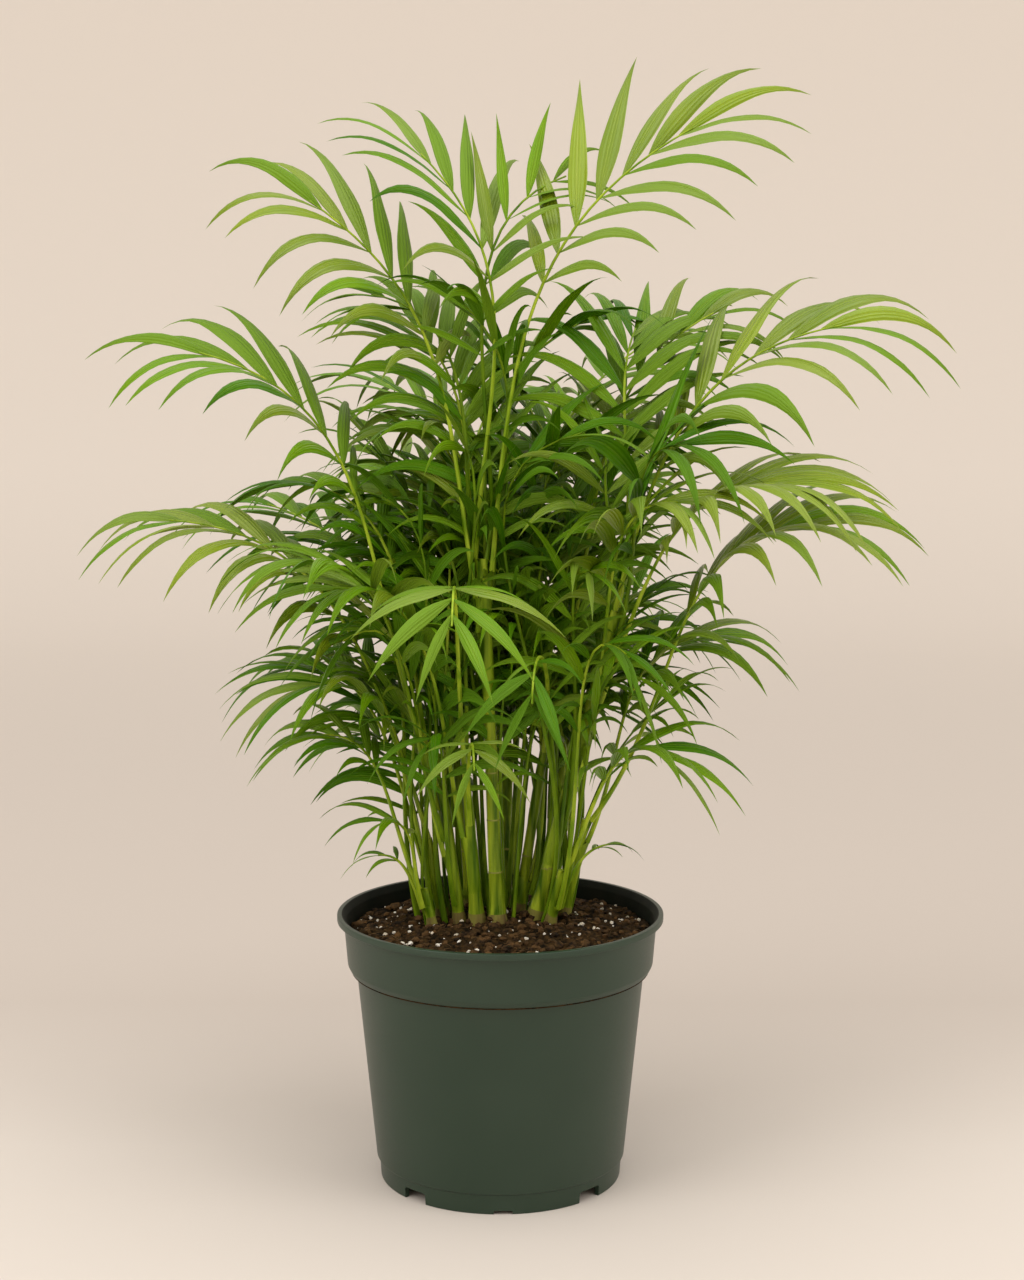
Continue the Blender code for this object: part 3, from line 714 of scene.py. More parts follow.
@dataclass
class PottingMix:
    """The peaty mix in the pot: a lumpy top with crumbs of bark, fibres and perlite on it."""

    centre_z: float = 0.2018
    edge_z: float = 0.1950
    wall_gap: float = 0.0008
    depth: float = 0.030
    lump: float = 0.0040
    grit: float = 0.0018
    turns: int = 220
    rings: int = 64
    top_share: float = 0.9
    mound_power: float = 2.2
    lump_scale: float = 55.0
    grit_scale: float = 230.0
    calm_from: float = 0.9
    calm_share: float = 0.7
    edge_room: float = 0.003
    crumbs: int = 1300
    crumb_size: tuple[float, float] = (0.0008, 0.0050)
    crumb_flat: float = 0.65
    fibres: int = 320
    fibre_length: tuple[float, float] = (0.005, 0.013)
    fibre_thick: tuple[float, float] = (0.00015, 0.00035)
    fibre_arch: float = 0.4
    perlite: int = 270
    perlite_size: tuple[float, float] = (0.0004, 0.0028)
    perlite_flat: float = 0.85
    small_power: float = 1.7
    uneven: tuple[float, float] = (0.72, 1.15)
    seed: int = 5

    def edge_radius(self, pot: Pot) -> float:
        """Gives the radius at which the mix meets the pot's collar."""
        share = (self.edge_z - pot.collar_foot_z) / (pot.height - pot.rim_height - pot.collar_foot_z)
        collar = pot.collar_foot_radius + (pot.collar_top_radius - pot.collar_foot_radius) * share
        return collar - pot.wall - self.wall_gap

    def top(self, x: float, y: float, reach: float) -> float:
        """Gives the height of the mix's surface.

        Args:
            x: The place's x.
            y: The place's y.
            reach: The radius of the mix's edge.

        Returns:
            The height.
        """
        share = min(math.hypot(x, y) / reach, 1.0)
        mound = self.centre_z + (self.edge_z - self.centre_z) * share ** self.mound_power
        lumps = noise.fractal(Vector((x * self.lump_scale, y * self.lump_scale, 1.7)), 0.9, 2.1, 3)
        grit = noise.fractal(Vector((x * self.grit_scale, y * self.grit_scale, 4.1)), 0.8, 2.2, 3)
        calm = 1.0 - self.calm_share * max(0.0, share - self.calm_from) / (1.0 - self.calm_from)
        return mound + (lumps * self.lump + grit * self.grit) * calm

    def bed(self, pot: Pot) -> bpy.types.Object:
        """Makes the body of the mix: its lumpy top, a side down the wall and a flat underside."""
        reach = self.edge_radius(pot)

        def place(around: float, down: float) -> Vector:
            angle = math.tau * around
            if down <= self.top_share:
                radius = reach * (down / self.top_share) ** 0.8
                x, y = radius * math.cos(angle), radius * math.sin(angle)
                return Vector((x, y, self.top(x, y, reach)))
            under = (down - self.top_share) / (1.0 - self.top_share)
            radius = (reach - 0.002) * min(1.0, 2.0 - 2.0 * under)
            return Vector((radius * math.cos(angle), radius * math.sin(angle), self.edge_z - self.depth))

        bm = bmesh.new()
        lay_sheet(bm, self.turns, self.rings, place)
        return finish_mesh("mix_bed", bm, [MIX_PEAT.material()], crease=None)

    def strewn(
        self,
        name: str,
        pot: Pot,
        finish: Finish,
        count: int,
        shape: Callable[[bmesh.types.BMesh, random.Random], list],
    ) -> bpy.types.Object:
        """Strews small bits over the mix.

        Args:
            name: The piece's name.
            pot: The pot that holds the mix.
            finish: The bits' finish.
            count: How many there are.
            shape: Makes one bit about the origin and gives its points.

        Returns:
            The joined bits.
        """
        dice = random.Random(f"{self.seed} {name}")
        reach = self.edge_radius(pot) - self.edge_room
        bm = bmesh.new()
        for _ in range(count):
            verts = shape(bm, dice)
            angle = dice.uniform(0, math.tau)
            radius = reach * math.sqrt(dice.random())
            x, y = radius * math.cos(angle), radius * math.sin(angle)
            z = self.top(x, y, reach) + dice.uniform(-0.0002, 0.0008)
            turn = Matrix.Rotation(dice.uniform(0, math.tau), 3, "Z")
            tip = Matrix.Rotation(dice.uniform(-0.5, 0.5), 3, "X")
            bmesh.ops.rotate(bm, cent=(0, 0, 0), matrix=turn @ tip, verts=verts)
            bmesh.ops.translate(bm, vec=(x, y, z), verts=verts)
        return finish_mesh(name, bm, [finish.material()])

    def lumps(
        self, bm: bmesh.types.BMesh, dice: random.Random, size: tuple[float, float], flat: float
    ) -> list:
        """Makes an uneven lump.

        Args:
            bm: The mesh that it joins.
            dice: The seeded source of its shape.
            size: Its least and greatest radius.
            flat: Its height as a share of its width.

        Returns:
            The lump's points.
        """
        radius = size[0] + (size[1] - size[0]) * dice.random() ** self.small_power
        verts = bmesh.ops.create_icosphere(bm, subdivisions=1, radius=radius)["verts"]
        for vert in verts:
            vert.co *= dice.uniform(*self.uneven)
        bmesh.ops.scale(bm, vec=(1.0, dice.uniform(0.65, 1.0), flat), verts=verts)
        return verts

    def splinter(self, bm: bmesh.types.BMesh, dice: random.Random) -> list:
        """Makes a bent fibre and gives its points."""
        length = dice.uniform(*self.fibre_length)
        arch = dice.uniform(-self.fibre_arch, self.fibre_arch)
        thick = dice.uniform(*self.fibre_thick)

        def place(around: float, along: float) -> Vector:
            angle = math.tau * around
            reach = (along - 0.5) * length
            slim = thick * (0.15 + math.sin(math.pi * along))
            bow = arch * (0.25 * length - reach * reach / length)
            return Vector((reach, bow + slim * math.cos(angle), slim * math.sin(angle)))

        return lay_sheet(bm, 3, 5, place)

    def build(self, pot: Pot) -> None:
        """Makes the mix and its bits and hands them over."""
        bits = (
            self.bed(pot),
            self.strewn("mix_crumbs", pot, BARK_CRUMB, self.crumbs,
                        lambda bm, dice: self.lumps(bm, dice, self.crumb_size, self.crumb_flat)),
            self.strewn("mix_fibres", pot, FIBRE, self.fibres, self.splinter),
            self.strewn("mix_perlite", pot, PERLITE, self.perlite,
                        lambda bm, dice: self.lumps(bm, dice, self.perlite_size, self.perlite_flat)),
        )
        for piece in bits:
            hand_over(piece, Slot.SOIL, ["soil"])


@dataclass(frozen=True)
class Cane:
    """One stem: its foot on the potting mix, its top and its radius at the foot."""

    name: str
    foot: tuple[float, float]
    top: tuple[float, float, float]
    radius: float

    FOOT_Z = 0.2008
    TAPER = 0.58

    def axis(self) -> tuple[Vector, Vector]:
        """Gives the ends of the cane's centre line."""
        return Vector((*self.foot, self.FOOT_Z)), Vector(self.top)

    def along(self) -> Vector:
        """Gives the cane's direction."""
        start, end = self.axis()
        return (end - start).normalized()

    def share(self, height: float) -> float:
        """Gives how far up the cane a height is, from 0 to 1."""
        start, end = self.axis()
        return (height - start.z) / (end.z - start.z)

    def point(self, height: float) -> Vector:
        """Gives the centre line's point at a height."""
        start, end = self.axis()
        return start.lerp(end, self.share(height))

    def girth(self, height: float) -> float:
        """Gives the cane's radius at a height."""
        return self.radius * (1.0 + (self.TAPER - 1.0) * min(max(self.share(height), 0.0), 1.0))

    def around(self, height: float, angle: float, radius: float) -> Vector:
        """Gives a point beside the centre line.

        Args:
            height: The height of the centre line's point.
            angle: The direction, as an azimuth in radians.
            radius: How far out it is.

        Returns:
            The point.
        """
        along = self.along()
        out = Vector((math.cos(angle), math.sin(angle), 0.0))
        out = (out - along * out.dot(along)).normalized()
        return self.point(height) + out * radius


CANES = (
    Cane("centre", (-0.002, -0.005), (-0.013, 0.002, 0.485), 0.0060),
    Cane("right_tall", (0.027, 0.010), (0.088, 0.000, 0.445), 0.0058),
    Cane("right_inner", (0.014, 0.030), (0.046, 0.036, 0.405), 0.0045),
    Cane("right", (0.050, 0.020), (0.066, 0.012, 0.280), 0.0044),
    Cane("right_front", (0.039, -0.003), (0.047, -0.012, 0.245), 0.0040),
    Cane("left", (-0.045, 0.014), (-0.056, 0.012, 0.265), 0.0046),
    Cane("left_inner", (-0.032, 0.002), (-0.044, -0.002, 0.310), 0.0044),
    Cane("left_low", (-0.053, -0.008), (-0.058, -0.010, 0.230), 0.0034),
    Cane("front", (-0.018, -0.002), (-0.026, -0.006, 0.310), 0.0056),
    Cane("back_left", (-0.026, 0.044), (-0.042, 0.062, 0.390), 0.0046),
    Cane("back", (0.004, 0.054), (0.006, 0.080, 0.420), 0.0048),
    Cane("back_right", (0.034, 0.052), (0.055, 0.072, 0.350), 0.0044),
)


@dataclass(frozen=True)
class Frond:
    """One frond: where it leaves its cane, where its tip is and how its blade is set.

    reach and rise run from the foot of the stalk to the end of the rib. lean is the angle between
    cane and stalk, slope the rib's angle over the horizon at its end. blade is the share of the
    length that bears leaflets. roll turns the blade about its rib.
    """

    name: str
    cane: str
    height: float
    azimuth: float
    reach: float
    rise: float
    lean: float
    slope: float
    blade: float
    pairs: int
    leaf: float
    roll: float = 0.0
    droop: float = 1.6
    fan: tuple[float, float] = (54.0, 18.0)
    tone: Tone = Tone.MIDDLE
    unrest: float = 1.0
    thick: float = 1.0


@dataclass(frozen=True)
class Tier:
    """A storey of similar fronds, dealt out over several canes by a seeded rule."""

    name: str
    canes: tuple[str, ...]
    count: int
    azimuths: tuple[float, float]
    share: tuple[float, float]
    reach: tuple[float, float]
    rise: tuple[float, float]
    slope: tuple[float, float]
    blade: float
    pairs: int
    leaf: tuple[float, float]
    leads: bool = False
    tones: tuple[Tone, ...] = (Tone.MIDDLE,)
    unrest: float = 1.8


FRONDS = (
    Frond("top", "centre", 0.485, 166, 0.042, 0.305, -6, 44, 0.46, 6, 0.120, 20, 1.5),
    Frond("right_top", "centre", 0.475, -8, 0.150, 0.330, 7, 28, 0.45, 7, 0.138, -42, 1.2, tone=Tone.FRESH),
    Frond("left_top", "centre", 0.455, 188, 0.124, 0.298, 7, 34, 0.50, 7, 0.128, 36, 1.8, tone=Tone.FRESH),
    Frond("left_high", "left_inner", 0.310, 196, 0.178, 0.332, 15, 14, 0.45, 7, 0.134, 24, 1.6),
    Frond("left_long", "left", 0.265, 186, 0.196, 0.250, 17, 4, 0.56, 8, 0.133, 15, 1.9, tone=Tone.FRESH),
    Frond("right_high", "right_tall", 0.445, -12, 0.168, 0.216, 13, 10, 0.66, 7, 0.150, -28, 1.6,
          tone=Tone.FRESH),
    Frond("right_long", "right", 0.280, -22, 0.172, 0.236, 24, 6, 0.44, 7, 0.145, -15, 1.6, tone=Tone.FRESH),
    Frond("right_rear", "right_inner", 0.405, 12, 0.118, 0.268, 5, 27, 0.50, 7, 0.115, -30, 1.6),
    Frond("right_mid", "right_tall", 0.370, -28, 0.150, 0.178, 7, -2, 0.50, 7, 0.140, -12, 1.5,
          tone=Tone.YOUNG),
    Frond("right_low", "right", 0.262, -4, 0.090, 0.160, 12, 4, 0.52, 6, 0.128, -10, 1.8),
    Frond("right_lower", "right_front", 0.245, -30, 0.084, 0.098, 12, -26, 0.48, 5, 0.108, -5),
    Frond("right_least", "right_front", 0.222, 16, 0.040, 0.040, 8, 0, 0.38, 2, 0.045),
    Frond("left_low", "left", 0.250, 202, 0.088, 0.142, 6, -6, 0.46, 6, 0.125, 8, 1.7),
    Frond("left_lower", "left_low", 0.230, 178, 0.080, 0.120, 14, -9, 0.42, 5, 0.095, 10),
    Frond("left_small", "left_low", 0.222, 196, 0.034, 0.072, 8, 2, 0.35, 3, 0.075, 10, 1.8),
    Frond("left_least", "left_low", 0.214, 165, 0.036, 0.040, 10, -10, 0.40, 2, 0.055, 10, 1.8),
    Frond("left_rear", "left_inner", 0.290, 160, 0.125, 0.250, 8, -2, 0.46, 7, 0.105, 5, tone=Tone.DEEP),
    Frond("upper_left", "centre", 0.430, 140, 0.070, 0.235, 8, 35, 0.50, 7, 0.125, 15),
    Frond("upper_right", "right_tall", 0.425, 70, 0.060, 0.235, 8, 35, 0.50, 7, 0.125, -15),
    Frond("right_near", "right_tall", 0.310, -48, 0.105, 0.225, 8, 0, 0.50, 7, 0.120, -12, tone=Tone.FRESH),
    Frond("left_near", "front", 0.270, 212, 0.110, 0.200, 8, 0, 0.50, 7, 0.120, 12),
    Frond("front_star", "front", 0.310, -92, 0.170, 0.146, 6, -55, 0.24, 4, 0.098, 0, 1.0, (70, 25)),
    Frond("front_small", "front", 0.280, -87, 0.100, 0.062, 9, -60, 0.28, 3, 0.065, 0, 1.0, (65, 25)),
    Frond("front_right", "right_inner", 0.330, -94, 0.150, 0.062, 8, -75, 0.24, 3, 0.080, 0, 1.0, (45, 20),
          Tone.DEEP, 3.0),
)

TIERS = (
    Tier("rear", ("back", "back_left", "back_right"), 8, (35, 158), (0.50, 0.95), (0.125, 0.185),
         (0.190, 0.290), (5, 30), 0.52, 7, (0.115, 0.135), True, (Tone.MIDDLE, Tone.DEEP)),
    Tier("fore", ("left_inner", "right_front"), 2, (-205, 25), (0.45, 0.80), (0.080, 0.120),
         (0.170, 0.230), (-35, -5), 0.48, 6, (0.095, 0.115), tones=(Tone.DEEP,), unrest=3.2),
    Tier("inner", ("back", "right_inner", "back_left", "left_inner", "back_right"), 8, (-25, 235),
         (0.05, 0.60), (0.040, 0.100), (0.250, 0.350), (5, 45), 0.48, 8, (0.105, 0.125),
         tones=(Tone.DEEP, Tone.MIDDLE)),
    Tier("rear_low", ("back_right", "back_left", "right", "left"), 4, (15, 170), (0.06, 0.40),
         (0.090, 0.130), (0.100, 0.180), (-20, 5), 0.50, 7, (0.095, 0.115), tones=(Tone.DEEP,)),
)
TIER_SEED = 11
TIER_AZIMUTH_PLAY = 8.0
TIER_LEAN = (6.0, 12.0)
TIER_ROLL = 25.0

# How far a stalk of the source turns and rises to keep clear of those before it.
STALK_TURNS = {
    "right_low": (5.0, 0.0), "left_small": (20.0, -0.006), "rear_2": (9.0, 0.0),
    "fore_2": (-27.0, -0.008), "inner_2": (9.0, 0.004), "rear_low_2": (20.0, -0.006),
}

# How many smaller fronds stand beside those of each name or storey.
COMPANIONS = {
    "rear": 2, "fore": 1, "inner": 1, "rear_low": 1, "left_rear": 1, "upper_left": 1,
    "upper_right": 1, "right_near": 1, "top": 1, "left_top": 1, "right_top": 1, "right_rear": 1,
    "left_high": 1, "right_high": 1,
}


@dataclass
class CaneBark:
    """The skin of the canes: ringed, green between the rings, browner and thicker at the foot."""

    sides: int = 16
    spacing: tuple[float, float] = (0.028, 0.052)
    ledge: float = 0.00018
    ring_half: float = 0.0006
    foot_flare: float = 0.34
    foot_length: float = 0.024
    buried: float = 0.006
    brown_length: tuple[float, float] = (0.003, 0.009)
    foot_rows: int = 3
    top_room: float = 0.002
    top_share: float = 0.9
    crease: float = 55.0
    seed: int = 3

    def stations(self, cane: Cane, dice: random.Random) -> list[tuple[float, float, bool]]:
        """Lists the rings of the cane's mesh.

        Args:
            cane: The cane.
            dice: The seeded source of the ring scars' spacing.

        Returns:
            For each ring its height, its radius and whether the band above it is a scar.
        """
        start, end = cane.axis()
        rows = [(start.z - self.buried, 1.0 + self.foot_flare, False)]
        for i in range(self.foot_rows + 1):
            rise = self.foot_length * i / self.foot_rows
            flare = self.foot_flare * (1.0 - i / self.foot_rows) ** 2
            rows.append((start.z + rise, 1.0 + flare, False))
        z = start.z + self.foot_length + dice.uniform(*self.spacing) * 0.5
        while z < end.z - 2 * self.top_room:
            thick = self.ledge / cane.girth(z)
            rows += [
                (z - 2 * self.ring_half, 1.0, False),
                (z - self.ring_half, 1.0 + thick, True),
                (z + self.ring_half, 1.0 + 0.6 * thick, False),
                (z + 3 * self.ring_half, 1.0 - 0.5 * thick, False),
            ]
            z += dice.uniform(*self.spacing)
            rows.append((z - (z - rows[-1][0]) / 2, 1.0, False))
        rows = [row for row in rows if row[0] < end.z - self.top_room] + [(end.z, self.top_share, False)]
        return [(height, cane.girth(height) * scale, scar) for height, scale, scar in rows]

    def skin(self, bm: bmesh.types.BMesh, cane: Cane, dice: random.Random) -> None:
        """Adds one cane to the mesh.

        Args:
            bm: The mesh that it joins.
            cane: The cane.
            dice: The seeded source of its uneven parts.
        """
        rows = self.stations(cane, dice)
        last = len(rows) + 1
        brown = cane.FOOT_Z + dice.uniform(*self.brown_length)

        def place(around: float, along: float) -> Vector:
            row = round(along * last)
            height, radius, _ = rows[min(max(row - 1, 0), len(rows) - 1)]
            if row in (0, last):
                return cane.point(height)
            return cane.around(height, math.tau * around, radius)

        verts = lay_sheet(bm, self.sides, last, place)
        for face in {face for vert in verts for face in vert.link_faces}:
            low = min(vert.co.z for vert in face.verts)
            nearest = min(rows, key=lambda row: abs(row[0] - low))
            face.material_index = 1 if nearest[2] else 2 if low < brown else 0

    def build(self) -> None:
        """Makes the canes and hands them over."""
        dice = random.Random(self.seed)
        bm = bmesh.new()
        for cane in CANES:
            single = bmesh.new()
            self.skin(single, cane, dice)
            join_into(bm, single)
        finishes = [CANE_SKIN.material(), CANE_SCAR.material(), CANE_FOOT.material()]
        piece = finish_mesh("cane_bark", bm, finishes, crease=self.crease)
        hand_over(piece, Slot.CANE, [f"cane_{cane.name}" for cane in CANES])


def join_into(whole: bmesh.types.BMesh, part: bmesh.types.BMesh) -> None:
    """Adds a finished small mesh to a large one, with its UV map, and frees the small one."""
    bmesh.ops.remove_doubles(part, verts=part.verts, dist=MERGE)
    mesh = bpy.data.meshes.new("part")
    part.to_mesh(mesh)
    part.free()
    whole.from_mesh(mesh)
    bpy.data.meshes.remove(mesh)


class Spine:
    """The centre line of a frond from its foot to its tip, read by length."""

    SAMPLES = 48
    START_PULL = 0.45
    END_PULL = 0.40
    STALK_RADIUS = 0.0024
    TIP_RADIUS = 0.0007
    TAPER_POWER = 0.8
    GAP = 0.0003

    def __init__(self, frond: Frond, foot: Vector, first: Vector) -> None:
        """Draws the line.

        Args:
            frond: The frond.
            foot: Where its stalk begins.
            first: The stalk's direction there.
        """
        away = heading(frond.azimuth, 0)
        tip = foot + away * frond.reach + UP * frond.rise
        span = (tip - foot).length
        a = foot + first * span * self.START_PULL
        b = tip - heading(frond.azimuth, frond.slope) * span * self.END_PULL
        self.points: list[Vector] = []
        for i in range(self.SAMPLES + 1):
            t = i / self.SAMPLES
            s = 1.0 - t
            self.points.append(foot * s ** 3 + a * 3 * s * s * t + b * 3 * s * t * t + tip * t ** 3)
        self.marks = [0.0]
        for p, q in zip(self.points, self.points[1:]):
            self.marks.append(self.marks[-1] + (q - p).length)
        self.length = self.marks[-1]
        self.across = Vector((away.y, -away.x, 0.0))
        self.roll = math.radians(frond.roll)
        self.bare = self.length * (1.0 - frond.blade)
        self.thick = frond.thick

    def at(self, distance: float) -> tuple[Vector, Vector, Vector, Vector]:
        """Reads the line.

        Args:
            distance: How far along it.

        Returns:
            The point and the forward, right and upper directions there.
        """
        distance = min(max(distance, 0.0), self.length)
        i = 0
        while i < self.SAMPLES - 1 and self.marks[i + 1] < distance:
            i += 1
        share = (distance - self.marks[i]) / (self.marks[i + 1] - self.marks[i])
        point = self.points[i].lerp(self.points[i + 1], share)
        before = self.points[i + 1] - self.points[max(i - 1, 0)]
        after = self.points[min(i + 2, self.SAMPLES)] - self.points[i]
        forward = before.normalized().lerp(after.normalized(), share).normalized()
        right = (self.across - forward * self.across.dot(forward)).normalized()
        upper = right.cross(forward)
        turn = self.roll * min(1.0, distance / self.bare)
        return (point, forward, right * math.cos(turn) + upper * math.sin(turn),
                upper * math.cos(turn) - right * math.sin(turn))

    def radius(self, distance: float) -> float:
        """Gives the rib's radius at a distance."""
        share = min(max(distance / self.length, 0.0), 1.0)
        foot = self.STALK_RADIUS * self.thick
        return foot + (self.TIP_RADIUS - foot) * share ** self.TAPER_POWER


@dataclass(frozen=True)
class Leaflet:
    """One leaflet's place on its rib and its own small departures from the rule."""

    side: int
    share: float
    length: float
    angle: float
    rise: float
    droop: float
    twist: float
    wave: float
    phase: float
    width: float


@dataclass
class LeafletShape:
    """The outline, fold and bend of every leaflet."""

    length_shares: Pairs = ((0.0, 0.70), (0.15, 0.88), (0.4, 1.0), (0.7, 0.95), (1.0, 0.78))
    width_shares: Pairs = (
        (0.0, 0.13), (0.05, 0.34), (0.12, 0.62), (0.22, 0.88), (0.34, 1.0), (0.47, 0.93),
        (0.60, 0.74), (0.73, 0.48), (0.85, 0.25), (0.94, 0.10), (1.0, 0.0),
    )
    width_share: float = 0.114
    fold: float = 0.30
    camber: float = 0.16
    rise: float = 6.0
    twist: float = -26.0
    tip_twist: float = 14.0
    bend_power: float = 1.5
    waves: float = 2.3
    steps: int = 24
    rule_steps: float = 8.0
    rows: int = 12
    columns: int = 4

    def line(self, leaf: Leaflet, root: Vector, forward: Vector, right: Vector, upper: Vector) -> list[
        tuple[Vector, Vector, Vector]
    ]:
        """Draws a leaflet's centre line.

        Args:
            leaf: The leaflet.
            root: Where it leaves the rib.
            forward: The rib's direction there.
            right: The rib's right there.
            upper: The rib's upper side there.

        Returns:
            For each step the point, the blade's direction across and its upper direction.
        """
        angle = math.radians(leaf.angle)
        rise = math.radians(self.rise + leaf.rise)
        outward = right * leaf.side * math.cos(rise) + upper * math.sin(rise)
        start = forward * math.cos(angle) + outward * math.sin(angle)
        level = math.hypot(start.x, start.y)
        point = root.copy()
        line = []
        for i in range(self.steps + 1):
            step = i / self.steps
            bend = leaf.droop * level * max(step - 0.5 / self.rule_steps, 0.0) ** self.bend_power
            along = (start - UP * bend).normalized()
            if i:
                point = point + along * leaf.length / self.steps
            across = (upper.cross(along) * leaf.side).normalized()
            face = (along.cross(across) * leaf.side).normalized()
            twist = math.radians(self.twist + leaf.twist + self.tip_twist * step ** 2)
            line.append((point.copy(), across * math.cos(twist) + face * math.sin(twist),
                         face * math.cos(twist) - across * math.sin(twist)))
        return line

    def lay(self, bm: bmesh.types.BMesh, leaf: Leaflet, line: list[tuple[Vector, Vector, Vector]]) -> None:
        """Adds a leaflet's blade to a mesh.

        Args:
            bm: The mesh that it joins.
            leaf: The leaflet.
            line: Its centre line.
        """
        widest = leaf.length * self.width_share * leaf.width / 2

        def place(across: float, along: float) -> Vector:
            step = along * self.steps
            i = min(int(step), self.steps - 1)
            point = line[i][0].lerp(line[i + 1][0], step - i)
            wide = line[i][1].lerp(line[i + 1][1], step - i).normalized()
            face = line[i][2].lerp(line[i + 1][2], step - i).normalized()
            side = 2.0 * across - 1.0
            half = widest * ramp(self.width_shares, along)
            drop = self.fold * abs(side) - self.camber * math.sin(math.pi * abs(side))
            wave = leaf.wave * side * side * math.sin(math.tau * (self.waves * along + leaf.phase) + side)
            return point + wide * side * half - face * (drop * half - wave * half)

        verts = lay_sheet(bm, self.columns, self.rows, place)
        middle = {vert for k, vert in enumerate(verts) if k % (self.columns + 1) == self.columns // 2}
        for edge in {edge for vert in middle for edge in vert.link_edges}:
            if edge.verts[0] in middle and edge.verts[1] in middle:
                edge.smooth = False


@dataclass(frozen=True)
class Play:
    """How far one leaflet may depart from the rule, on a frond whose unrest is 1."""

    length: float = 0.03
    shorter: float = 2.0
    angle: float = 5.0
    rise: float = 7.0
    droop: float = 0.18
    less_droop: float = 0.7
    twist: float = 12.0
    wave: tuple[float, float] = (0.03, 0.11)
    width: tuple[float, float] = (0.98, 1.12)
    narrower: float = 0.13
    root: float = 0.0015


@dataclass(frozen=True)
class Beside:
    """How a companion departs from the frond that it stands beside."""

    below: tuple[float, float] = (0.010, 0.060)
    least_rise: float = 0.015
    turn: tuple[float, float] = (12.0, 44.0)
    reach: tuple[float, float] = (0.40, 0.88)
    rise: tuple[float, float] = (0.62, 0.98)
    drop: tuple[float, float] = (-5.0, 25.0)
    leaf: tuple[float, float] = (0.70, 1.0)
    blade: tuple[float, float] = (0.95, 1.25)
    most_blade: float = 0.62
    roll: float = 35.0
    deep_share: float = 0.5
    unrest: float = 2.6


@dataclass(frozen=True)
class Shoot:
    """The young stalks between the canes: how many there are and the ranges of their sizes."""

    count: int = 32
    turn: tuple[float, float] = (5.0, 175.0)
    gap_share: float = 1.2
    gap: tuple[float, float, float] = (0.002, 0.007, 0.015)
    sunk: float = 0.006
    low_from: float = 0.01
    low_every: int = 4
    away: tuple[float, float] = (5.0, 110.0)
    low_reach: tuple[float, float] = (0.020, 0.060)
    low_rise: tuple[float, float] = (0.080, 0.180)
    reach: tuple[float, float] = (0.030, 0.110)
    rise: tuple[float, float] = (0.180, 0.400)
    slope: tuple[float, float] = (-15.0, 50.0)
    blade: tuple[float, float] = (0.32, 0.48)
    pairs: tuple[int, ...] = (5, 6, 7)
    leaf: tuple[float, float] = (0.080, 0.120)
    roll: float = 40.0
    tones: tuple[Tone, ...] = (Tone.DEEP, Tone.DEEP, Tone.MIDDLE)
    unrest: float = 2.4
    thick: tuple[float, float] = (0.60, 1.30)
    lean: float = 0.20


